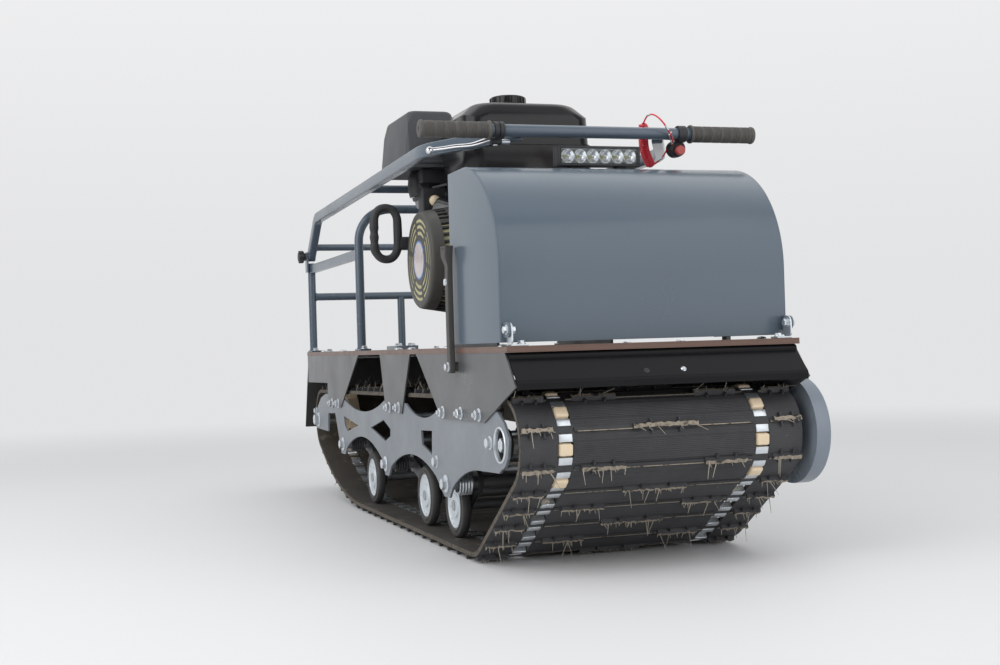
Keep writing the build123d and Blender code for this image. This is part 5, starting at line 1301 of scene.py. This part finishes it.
new_piece("air_filter_box", bm, "chassis", [filter_plastic, bright_zinc], ["air_filter"],
          40)

# Carburettor: a cast body with a float bowl below and a short hose up to the filter, behind a
# moulded plastic box of controls.
INTAKE_ROUTE = ((0.040, -0.165, 0.702), (0.040, -0.170, 0.720), (0.030, -0.160, 0.745),
                (0.025, -0.152, 0.760))
bm = bmesh.new()
add_block(bm, (0.010, -0.110, 0.668), (0.070, -0.075, 0.730), 0.006, 3)
add_turned(bm, ((0, 0.024), (0.022, 0.024), (0.024, 0.026), (0.040, 0.026), (0.042, 0.030), (0.060, 0.030),
                (0.060, 0)),
           (0.040, -0.110, 0.702), (0, -1, 0), 32)
add_turned(bm, ((0, 0.0), (0, 0.020), (0.004, 0.025), (0.026, 0.027), (0.030, 0.022), (0.030, 0)),
           (0.040, -0.132, 0.651), (0, 0, 1), 32)
add_smooth_tube(bm, [Vector(p) for p in INTAKE_ROUTE], 0.024, paint=1, sides=4)
add_block(bm, (0.004, -0.1745, 0.690), (0.064, -0.112, 0.750), 0.005, 3, 1)
add_block(bm, (0.050, -0.1735, 0.655), (0.0895, -0.124, 0.712), 0.004, 3, 1)
add_block(bm, (0.0600, -0.1745, 0.722), (0.0895, -0.100, 0.753), 0.004, 3, 1)
add_rod(bm, (0.084, -0.150, 0.712), (0.084, -0.118, 0.720), 0.0028, 10, paint=2)
add_block(bm, (-0.004, -0.1748, 0.6985), (0.028, -0.1735, 0.7015), 0.0004, 1, 2)
new_piece("carburettor_body", bm, "chassis", [cast_aluminium, black_plastic, bright_zinc],
          ["carburettor"])

# Gear lever: a bent steel rod in slate powder coat with a cream plastic ball pressed on its end,
# beside the carburettor.
LEVER_BALL = Vector((0.0985, -0.150, 0.6835))
LEVER_ROD = ((0.002, 0.008, 0), (0.012, 0.045, -0.001), (0.026, 0.085, -0.004), (0.030, 0.098, -0.030))


def add_ball(bm, centre, radius, rings):
    """Ball at the end of a lever."""
    part = bmesh.new()
    bmesh.ops.create_uvsphere(part, u_segments=24, v_segments=rings, radius=radius)
    join(bm, part, 0, Matrix.Translation(centre))


bm = bmesh.new()
add_ball(bm, LEVER_BALL, 0.0115, 16)
add_smooth_tube(bm, [LEVER_BALL + Vector(p) for p in LEVER_ROD], 0.0055, paint=1, sides=4)
new_piece("gear_lever", bm, "chassis", [cream_plastic, slate_coat])

# Silencer: a black-enamelled steel box on the exhaust port, behind a louvred heat guard held
# off it on spacers.
bm = bmesh.new()
add_block(bm, (-0.066, 0.077, 0.644), (0.106, 0.189, 0.766), 0.028, 5)
add_block(bm, (-0.040, 0.074, 0.680), (0.020, 0.084, 0.730), 0.003, 2, 1)
add_block(bm, (-0.0695, 0.1985, 0.6425), (0.1095, 0.2010, 0.7680), 0.0010, 1)
for louvre in range(6):
    louvre_z = 0.662 + louvre * 0.0165
    tilt = Matrix.Translation((0.020, 0.2010, louvre_z)) @ Matrix.Rotation(radians(-28), 4, "X")
    add_block(bm, (-0.066, -0.0012, -0.0050), (0.066, 0.0012, 0.0050), 0.0008, 1, 0, tilt)
for bolt_x in (-0.058, 0.098):
    for bolt_z in (0.654, 0.757):
        add_rod(bm, (bolt_x, 0.150, bolt_z), (bolt_x, 0.199, bolt_z), 0.0045, 12)
        add_bolt(bm, (bolt_x, 0.201, bolt_z), (0, 1, 0), 0.0052, False, 2)
add_rod(bm, (-0.050, 0.165, 0.705), (-0.0695, 0.180, 0.700), 0.013, 24, edge=0.001)
hot_enamel = finish_of("hot_enamel", (0.030, 0.029, 0.028), (0.050, 0.042, 0.036), (0.45, 0.65),
                       20, 700, 0.0002)
new_piece("silencer_box", bm, "chassis", [hot_enamel, cast_aluminium, bright_zinc],
          ["silencer"])

# Hood: one steel sheet bent over the front, with two flat cheeks welded in and dressed round, in
# gloss slate powder coat. It tilts forward on two ears at its lower front corners.
HOOD_FRONT = 0.830
HOOD_REAR = 0.563
HOOD_TOP = 0.680
HOOD_FOOT = 0.378
HOOD_BEND = 0.187
HOOD_HALF = 0.257
HOOD_SHEET = 0.002
HINGE_X = 0.850
HINGE_Z = 0.398
hood_outline = [(HOOD_REAR, HOOD_FOOT), (HOOD_REAR, HOOD_TOP)]
for step in range(33):
    angle = pi / 2 * (1 - step / 32)
    hood_outline.append((HOOD_FRONT - HOOD_BEND + HOOD_BEND * cos(angle),
                         HOOD_TOP - HOOD_BEND + HOOD_BEND * sin(angle)))
hood_outline.append((HOOD_FRONT, HOOD_FOOT))
part = bmesh.new()
cheek = part.faces.new([part.verts.new((x, -HOOD_HALF, z)) for x, z in hood_outline])
push_out(part, [cheek], (0, 2 * HOOD_HALF, 0))
bmesh.ops.recalc_face_normals(part, faces=part.faces)
open_faces = [face for face in part.faces
              if all(v.co.x < HOOD_REAR + 1e-6 for v in face.verts)
              or all(v.co.z < HOOD_FOOT + 1e-6 for v in face.verts)]
bmesh.ops.delete(part, geom=open_faces, context="FACES")
rims = [e for e in part.edges if len(e.link_faces) == 2 and abs(e.verts[0].co.y - e.verts[1].co.y) < 1e-6]
round_edges(part, rims, 0.0035, 4)
bmesh.ops.solidify(part, geom=part.faces[:], thickness=HOOD_SHEET)
bm = bmesh.new()
join(bm, part)
lip_x = HOOD_REAR + 0.004
lip_z = HOOD_TOP - 0.0045
for side in (-1, 1):
    join(bm, hull_plate(((HINGE_X, HINGE_Z, 0.012), (0.8285, HINGE_Z, 0.012)), 0.003, 0.0006, 1), 0,
         Matrix.Translation((0, side * 0.2505 - 0.0015, 0)))
    lip_y = side * (HOOD_HALF - 0.0045)
    add_rod(bm, (lip_x, lip_y, HOOD_FOOT + 0.004), (lip_x, lip_y, HOOD_TOP - 0.006), 0.003, 12)
add_rod(bm, (lip_x, -HOOD_HALF + 0.006, lip_z), (lip_x, HOOD_HALF - 0.006, lip_z), 0.003, 12)
hood_coat = finish_of("hood_coat", (0.105, 0.137, 0.172), (0.094, 0.124, 0.157), (0.20, 0.28),
                      4, 1500, 0.00004, clear=0.1, gleam=0.4)
new_piece("hood_shell", bm, "hood", [hood_coat], ["hood"], 38)

# Hood hinges: zinc-plated steel angle brackets bolted to the deck's front corners, each with a bolt
# through the hood's ear.
bm = bmesh.new()
for side in (-1, 1):
    plate_low = min(side * 0.2458, side * 0.2488)
    join(bm, hull_plate(((HINGE_X, HINGE_Z, 0.012), (HINGE_X, DECK_TOP + 0.012, 0.012)), 0.003, 0.0006, 1),
         0,
         Matrix.Translation((0, plate_low, 0)))
    foot_low, foot_high = sorted((side * 0.2488, side * 0.2208))
    add_block(bm, (HINGE_X - 0.012, foot_low, DECK_TOP), (HINGE_X + 0.012, foot_high, DECK_TOP + 0.003),
              0.0008, 1)
    add_bolt(bm, (HINGE_X, side * 0.229, DECK_TOP + 0.003), (0, 0, 1), 0.0056)
    add_rod(bm, (HINGE_X, side * 0.2455, HINGE_Z), (HINGE_X, side * 0.2525, HINGE_Z), 0.0038, 14)
    add_bolt(bm, (HINGE_X, side * 0.2524, HINGE_Z), (0, side, 0), 0.0062, True, 0, 0.3)
    add_bolt(bm, (HINGE_X, side * 0.2457, HINGE_Z), (0, -side, 0), 0.0062, True, 0, 0.8)
new_piece("hood_hinges", bm, "chassis", [bright_zinc], ["hinge_brackets"])

# Strap latches: moulded rubber straps beside the hood with a flared, grooved pull at the top.
# A zinc-plated bolt holds each to the skirt and a stud catches the hood.
STRAP_X = 0.588
STRAP_PROFILE = ((0.328, 0.0070), (0.331, 0.0095), (0.336, 0.0108), (0.346, 0.0108), (0.362, 0.0088),
                 (0.420, 0.0084),
                 (0.490, 0.0088), (0.514, 0.0096), (0.532, 0.0118), (0.544, 0.0155), (0.550, 0.0170))
STRAP_INNER = 0.2630
STRAP_OUTER = 0.2735
strap_rubber = finish_of("strap_rubber", (0.062, 0.060, 0.058), (0.084, 0.080, 0.076), (0.5, 0.7),
                         40, 900, 0.0002)
bm = bmesh.new()
for side in (-1, 1):
    part = bmesh.new()
    ring = [part.verts.new((STRAP_X - half, 0, z)) for z, half in STRAP_PROFILE]
    ring += [part.verts.new((STRAP_X + half, 0, z)) for z, half in reversed(STRAP_PROFILE)]
    push_out(part, [part.faces.new(ring)], (0, side * (STRAP_OUTER - STRAP_INNER), 0))
    bmesh.ops.recalc_face_normals(part, faces=part.faces)
    for vert in part.verts:
        if abs(vert.co.y) > 0.004 and vert.co.z > 0.514:
            vert.co.y = side * (STRAP_OUTER - STRAP_INNER + 0.0045 * min(1, (vert.co.z - 0.514) / 0.022))
    rims = [e for e in part.edges
            if abs(e.verts[0].co.y - e.verts[1].co.y) < 0.004 and len(e.link_faces) == 2]
    round_edges(part, rims, 0.0016, 3)
    join(bm, part, 0, Matrix.Translation((0, side * STRAP_INNER, 0)))
    for groove in (-0.0085, -0.0030, 0.0030, 0.0085):
        add_rod(bm, (STRAP_X + groove * 0.7, side * 0.2761, 0.529),
                (STRAP_X + groove * 1.25, side * 0.2777, 0.5475), 0.0014, 8)
    add_rod(bm, (STRAP_X, side * 0.2570, 0.339), (STRAP_X, side * STRAP_INNER, 0.339), 0.0085, 20)
    add_bolt(bm, (STRAP_X, side * STRAP_OUTER, 0.339), (0, side, 0), 0.0066, True, 1, 0.2)
    add_rod(bm, (STRAP_X, side * 0.2730, 0.487), (STRAP_X, side * 0.2770, 0.487), 0.0070, 20, 0.0058,
            0.0008, 1)
new_piece("strap_latch_pair", bm, "chassis", [strap_rubber, bright_zinc], ["strap_latches"])

# Lamp bar: a cast aluminium housing in black, with cooling ribs behind and a frame in front, on
# two feet on the hood.
LAMP_BACK = 0.611
LAMP_FACE = 0.645
LAMP_HALF = 0.079
LAMP_FOOT = 0.686
LAMP_HEAD = 0.722
LAMP_MIDDLE = (LAMP_FOOT + LAMP_HEAD) / 2
BEZEL_HALF_LENGTH = 0.0725
BEZEL_HALF_HEIGHT = 0.0130
bm = bmesh.new()
add_block(bm, (LAMP_BACK + 0.008, -LAMP_HALF, LAMP_FOOT), (0.631, LAMP_HALF, LAMP_HEAD), 0.0030, 2)
bezel_low = LAMP_MIDDLE - BEZEL_HALF_HEIGHT
bezel_high = LAMP_MIDDLE + BEZEL_HALF_HEIGHT
for low, high in (((0.630, -LAMP_HALF, LAMP_FOOT), (LAMP_FACE, LAMP_HALF, bezel_low)),
                  ((0.630, -LAMP_HALF, bezel_high), (LAMP_FACE, LAMP_HALF, LAMP_HEAD)),
                  ((0.630, -LAMP_HALF, LAMP_FOOT + 0.001),
                   (LAMP_FACE, -BEZEL_HALF_LENGTH, LAMP_HEAD - 0.001)),
                  ((0.630, BEZEL_HALF_LENGTH, LAMP_FOOT + 0.001),
                   (LAMP_FACE, LAMP_HALF, LAMP_HEAD - 0.001))):
    add_block(bm, low, high, 0.0016, 2)
for fin in range(17):
    fin_y = -0.074 + fin * 0.00925
    add_block(bm, (LAMP_BACK, fin_y - 0.0012, LAMP_FOOT + 0.003),
              (0.622, fin_y + 0.0012, LAMP_HEAD - 0.003), 0.0004, 1)
for foot_y in (-0.045, 0.045):
    add_block(bm, (0.619, foot_y - 0.009, 0.680), (0.637, foot_y + 0.009, 0.6875), 0.0012, 2)
new_piece("lamp_housing", bm, "hood", [black_plastic], ["lamp_bar"])

# Lamp reflectors: six bright round cups of metallised plastic in a pale frame, with a yellow light
# chip at the bottom of each.
bm = bmesh.new()
for low_x, high_x, low_z, high_z, edge in ((0.630, 0.6325, bezel_low, bezel_high, 0),
                                           (0.632, 0.6425, bezel_low, LAMP_MIDDLE - 0.0115, 0.0004),
                                           (0.632, 0.6425, LAMP_MIDDLE + 0.0115, bezel_high, 0.0004)):
    add_block(bm, (low_x, -BEZEL_HALF_LENGTH, low_z), (high_x, BEZEL_HALF_LENGTH, high_z), edge, 1, 1)
for lamp in range(6):
    lamp_y = (lamp - 2.5) * 0.0236
    add_turned(bm, ((0.0003, 0.0), (0.0003, 0.0030), (0.0022, 0.0062), (0.0050, 0.0088), (0.0092, 0.0112),
                    (0.0092, 0.0116),
                    (0.0003, 0.0118)), (0.6325, lamp_y, LAMP_MIDDLE), (1, 0, 0), 32)
    add_block(bm, (0.6325, lamp_y - 0.0026, LAMP_MIDDLE - 0.0026),
              (0.6345, lamp_y + 0.0026, LAMP_MIDDLE + 0.0026), 0.0006, 1, 2)
mirror = finish_of("mirror", (0.88, 0.89, 0.90), (0.78, 0.79, 0.80), (0.08, 0.16),
                   60, 900, 0.00002, metal=1.0)
frame_grey = finish_of("frame_grey", (0.36, 0.37, 0.38), (0.30, 0.31, 0.32), (0.3, 0.45), 50, 900, 0.00004)
light_chip = finish_of("light_chip", (0.42, 0.40, 0.11), (0.32, 0.30, 0.08), (0.3, 0.4), 200, 900, 0.00004)
new_piece("lamp_reflectors", bm, "hood", [mirror, frame_grey, light_chip])

# Lamp pane: a clear moulded plastic plate that closes the lamp's front, set into its frame over
# the reflectors.
bm = bmesh.new()
add_block(bm, (0.6432, -BEZEL_HALF_LENGTH, bezel_low), (0.6460, BEZEL_HALF_LENGTH, bezel_high), 0.0006, 1)
clear_pane = finish_of("clear_pane", (0.93, 0.95, 0.96), (0.88, 0.91, 0.93), (0.02, 0.06), 30, 900, 0.00001)
pane_shader = clear_pane.node_tree.nodes["Principled BSDF"]
pane_shader.inputs["Transmission Weight"].default_value = 1.0
pane_shader.inputs["IOR"].default_value = 1.45
new_piece("lamp_pane", bm, "hood", [clear_pane], ["lamp_lens"])

# Tiller: two rails of rectangular steel tube with rounded corners, bent up behind and drawn in to
# the bar, with two round crossbars, all welded and in slate powder coat.
PIVOT = Vector((-0.797, 0.628))
RAIL_BENDS = ((-0.688, 0.722), (0.375, 0.748))
RAIL_BEND_RADIUS = 0.060
RAIL_HALF_WIDTH = 0.010
RAIL_HALF_HEIGHT = 0.0125
RAIL_CORNER = 0.0032
BAR_X = 0.613
BAR_Z = 0.751
BAR_RADIUS = 0.011
RAIL_FRONT = (0.5966, 0.135)
TOE_SETBACK = 0.045


def soft_corner(before, corner, after, setback):
    """Points of a smooth bend at the corner of a line, from setback before it to setback after it."""
    start = corner - (corner - before).normalized() * setback
    end = corner + (after - corner).normalized() * setback
    shares = [step / 8 for step in range(9)]
    return [start.lerp(corner, share).lerp(corner.lerp(end, share), share) for share in shares]


bm = bmesh.new()
section = []
for corner_x, corner_z, first in ((1, 1, 0), (-1, 1, 1), (-1, -1, 2), (1, -1, 3)):
    for step in range(5):
        angle = pi / 2 * (first + step / 4)
        section.append((corner_x * (RAIL_HALF_WIDTH - RAIL_CORNER) + RAIL_CORNER * cos(angle),
                        corner_z * (RAIL_HALF_HEIGHT - RAIL_CORNER) + RAIL_CORNER * sin(angle)))
for side in (-1, 1):
    foot, bend, toe = [Vector((x, side * RACK_Y, z)) for x, z in (PIVOT, *RAIL_BENDS)]
    tip = Vector((RAIL_FRONT[0], side * RAIL_FRONT[1], toe.z))
    setback = RAIL_BEND_RADIUS * tan((bend - foot).angle(toe - bend) / 2)
    line = [foot] + soft_corner(foot, bend, toe, setback)
    line += soft_corner(line[-1], toe, tip, TOE_SETBACK) + [tip]
    part = bmesh.new()
    rings = []
    for index, point in enumerate(line):
        before = line[max(index - 1, 0)]
        after = line[min(index + 1, len(line) - 1)]
        heading = ((point - before).normalized() + (after - point).normalized()).normalized()
        lift = Vector((0, 0, 1)) - heading * heading.z
        lift.normalize()
        across = lift.cross(heading)
        rings.append([part.verts.new(point + across * x + lift * z) for x, z in section])
    for ring, next_ring in zip(rings, rings[1:]):
        for k in range(len(ring)):
            part.faces.new((ring[k - 1], ring[k], next_ring[k], next_ring[k - 1]))
    part.faces.new(rings[0])
    part.faces.new(rings[-1])
    join(bm, part)
    add_rod(bm, (PIVOT.x, side * (RACK_Y - RAIL_HALF_WIDTH), PIVOT.y),
            (PIVOT.x, side * (RACK_Y + RAIL_HALF_WIDTH - 0.0003), PIVOT.y), RAIL_HALF_HEIGHT, 32,
            edge=0.001)
for bar_x, bar_z in ((-0.770, 0.651), (-0.142, 0.735)):
    bar_end = RACK_Y - RAIL_HALF_WIDTH / 2
    add_rod(bm, (bar_x, -bar_end, bar_z), (bar_x, bar_end, bar_z), 0.009, 28)
    for side in (-1, 1):
        add_weld(bm, (bar_x, side * (RACK_Y - RAIL_HALF_WIDTH), bar_z), (0, 1, 0), 0.009)
new_piece("tiller_rails", bm, "tiller", [slate_coat], ["tiller_frame"], 40)

# Handlebar: a 22 mm round steel tube welded across the rails' front ends, in the same slate
# powder coat.
bm = bmesh.new()
add_rod(bm, (BAR_X, -0.318, BAR_Z), (BAR_X, 0.318, BAR_Z), BAR_RADIUS, 40, edge=0.001)
for side in (-1, 1):
    for height in (-0.0105, 0.0105):
        weld_at = Vector((RAIL_FRONT[0] + 0.002, side * RAIL_FRONT[1], RAIL_BENDS[1][1] + height))
        add_rod(bm, weld_at - Vector((0, 0.008, 0)), weld_at + Vector((0, 0.008, 0)), 0.0022, 10,
                edge=0.001)
new_piece("handlebar_tube", bm, "tiller", [slate_coat], ["handlebar"])

# Grips: grey-brown rubber sleeves with blocks of fine rings, a flange at each end and a small
# hole in the closed end.
GRIP_INNER = 0.192
grip_profile = [(0.0, 0.0112), (0.0, 0.0162), (0.0008, 0.0168), (0.0034, 0.0168), (0.0042, 0.0160),
                (0.0060, 0.0143)]
for block in range(6):
    block_start = 0.0075 + block * 0.0192
    for ring in range(6):
        ring_at = block_start + ring * 0.0027
        grip_profile += [(ring_at, 0.0140), (ring_at + 0.0004, 0.0149), (ring_at + 0.0016, 0.0149),
                         (ring_at + 0.0020, 0.0140)]
    grip_profile.append((block_start + 0.0174, 0.0136))
grip_profile += [(0.1225, 0.0140), (0.1235, 0.0156), (0.1265, 0.0160), (0.1288, 0.0152), (0.1298, 0.0128),
                 (0.1300, 0.0045), (0.1280, 0.0036), (0.1280, 0.0)]
grip_rubber = finish_of("grip_rubber", (0.108, 0.102, 0.094), (0.076, 0.072, 0.067), (0.5, 0.68),
                        45, 900, 0.0002)
bm = bmesh.new()
for side in (-1, 1):
    add_turned(bm, grip_profile, (BAR_X, side * GRIP_INNER, BAR_Z), (0, side, 0), 40)
new_piece("grips_ribbed", bm, "tiller", [grip_rubber], ["grips"])

# Pivot knobs: moulded black plastic star knobs with seven lobes, screwed on the zinc-plated bolts
# that the tiller turns on.
KNOB_FACE = 0.2605
bm = bmesh.new()
for side in (-1, 1):
    knob = Vector((PIVOT.x, side * KNOB_FACE, PIVOT.y))
    add_rod(bm, knob - Vector((0, side * 0.0055, 0)), knob + Vector((0, side * 0.003, 0)), 0.0055, 16,
            paint=1)
    add_turned(bm, ((0.0, 0.0), (0.0, 0.0105), (0.0040, 0.0105), (0.0055, 0.0140), (0.0170, 0.0140),
                    (0.0195, 0.0120), (0.0200, 0.0085), (0.0190, 0.0)),
               knob, (0, side, 0), 36)
    for lobe in range(7):
        angle = 2 * pi / 7 * lobe
        spot = knob + Vector((cos(angle) * 0.0128, 0, sin(angle) * 0.0128))
        add_rod(bm, spot + Vector((0, side * 0.0055, 0)), spot + Vector((0, side * 0.0185, 0)), 0.0043, 12,
                edge=0.0014)
new_piece("pivot_star_knobs", bm, "tiller", [black_plastic, bright_zinc], ["pivot_knobs"])

# Brake lever: a cast, polished aluminium lever with a ball end, in a black clamp on the bar beside
# the right grip, and the cable's threaded end.
LEVER_ROUTE = ((0.594, -0.170, 0.737), (0.590, -0.186, 0.738), (0.588, -0.200, 0.733),
               (0.590, -0.222, 0.726), (0.592, -0.250, 0.724),
               (0.592, -0.276, 0.719), (0.592, -0.296, 0.717))
polished = finish_of("polished", (0.84, 0.84, 0.85), (0.74, 0.74, 0.76), (0.10, 0.20),
                     40, 900, 0.00002, metal=1.0)


def add_clamp(bm, start_y, way, width, paint=0):
    """Clamp ring round the handlebar, from start_y to the left (way 1) or to the right (way -1)."""
    profile = ((0.0, 0.0113), (0.0, 0.0145), (0.0008, 0.0152), (width - 0.0008, 0.0152), (width, 0.0145),
               (width, 0.0113), (0.0, 0.0113))
    add_turned(bm, profile, (BAR_X, start_y, BAR_Z), (0, way, 0), 32, paint)


bm = bmesh.new()
add_smooth_tube(bm, [Vector(p) for p in LEVER_ROUTE], 0.0050,
                scales=(1.15, 1.2, 1.05, 0.95, 0.92, 0.9, 0.88),
                sides=4)
add_ball(bm, (0.592, -0.297, 0.7168), 0.0068, 14)
for start_y in (-0.168, -0.178):
    add_clamp(bm, start_y, -1, 0.0080, 1)
add_block(bm, (0.5845, -0.187, 0.7285), (0.6020, -0.166, 0.7460), 0.003, 3, 1)
add_rod(bm, (0.593, -0.1765, 0.7475), (0.593, -0.1765, 0.7265), 0.0042, 14, edge=0.0008, paint=2)
add_rod(bm, (0.593, -0.168, 0.734), (0.593, -0.150, 0.734), 0.0044, 14, edge=0.0006, paint=2)
new_piece("brake_lever_cast", bm, "tiller", [polished, black_plastic, bright_zinc],
          ["brake_lever"])

# Stop switch: a black plastic pot clamped under the left half of the bar, with a red button that
# the lanyard's clip sits behind.
SWITCH = Vector((0.578, 0.175, 0.727))
red_button = finish_of("red_button", (0.52, 0.085, 0.075), (0.42, 0.065, 0.060), (0.35, 0.5),
                       60, 900, 0.00004)
bm = bmesh.new()
add_turned(bm, ((0.0, 0.0), (0.0, 0.0130), (0.0025, 0.0155), (0.0120, 0.0160), (0.0135, 0.0152),
                (0.0150, 0.0160), (0.0215, 0.0155), (0.0238, 0.0135), (0.0238, 0.0)),
           SWITCH, (1, 0, 0), 36)
add_clamp(bm, 0.167, 1, 0.0160)
add_block(bm, (0.590, 0.169, 0.735), (0.6015, 0.181, 0.745), 0.002, 2)
add_turned(bm, ((0.0236, 0.0085), (0.0270, 0.0080), (0.0270, 0.0)), SWITCH - Vector((0, 0, 0.005)),
           (1, 0, 0), 28)
add_turned(bm, ((0.0270, 0.0), (0.0270, 0.0092), (0.0340, 0.0092), (0.0358, 0.0078), (0.0360, 0.0)),
           SWITCH - Vector((0, 0, 0.005)), (1, 0, 0), 28, 1)
new_piece("stop_switch_pot", bm, "tiller", [black_plastic, red_button], ["stop_switch"])
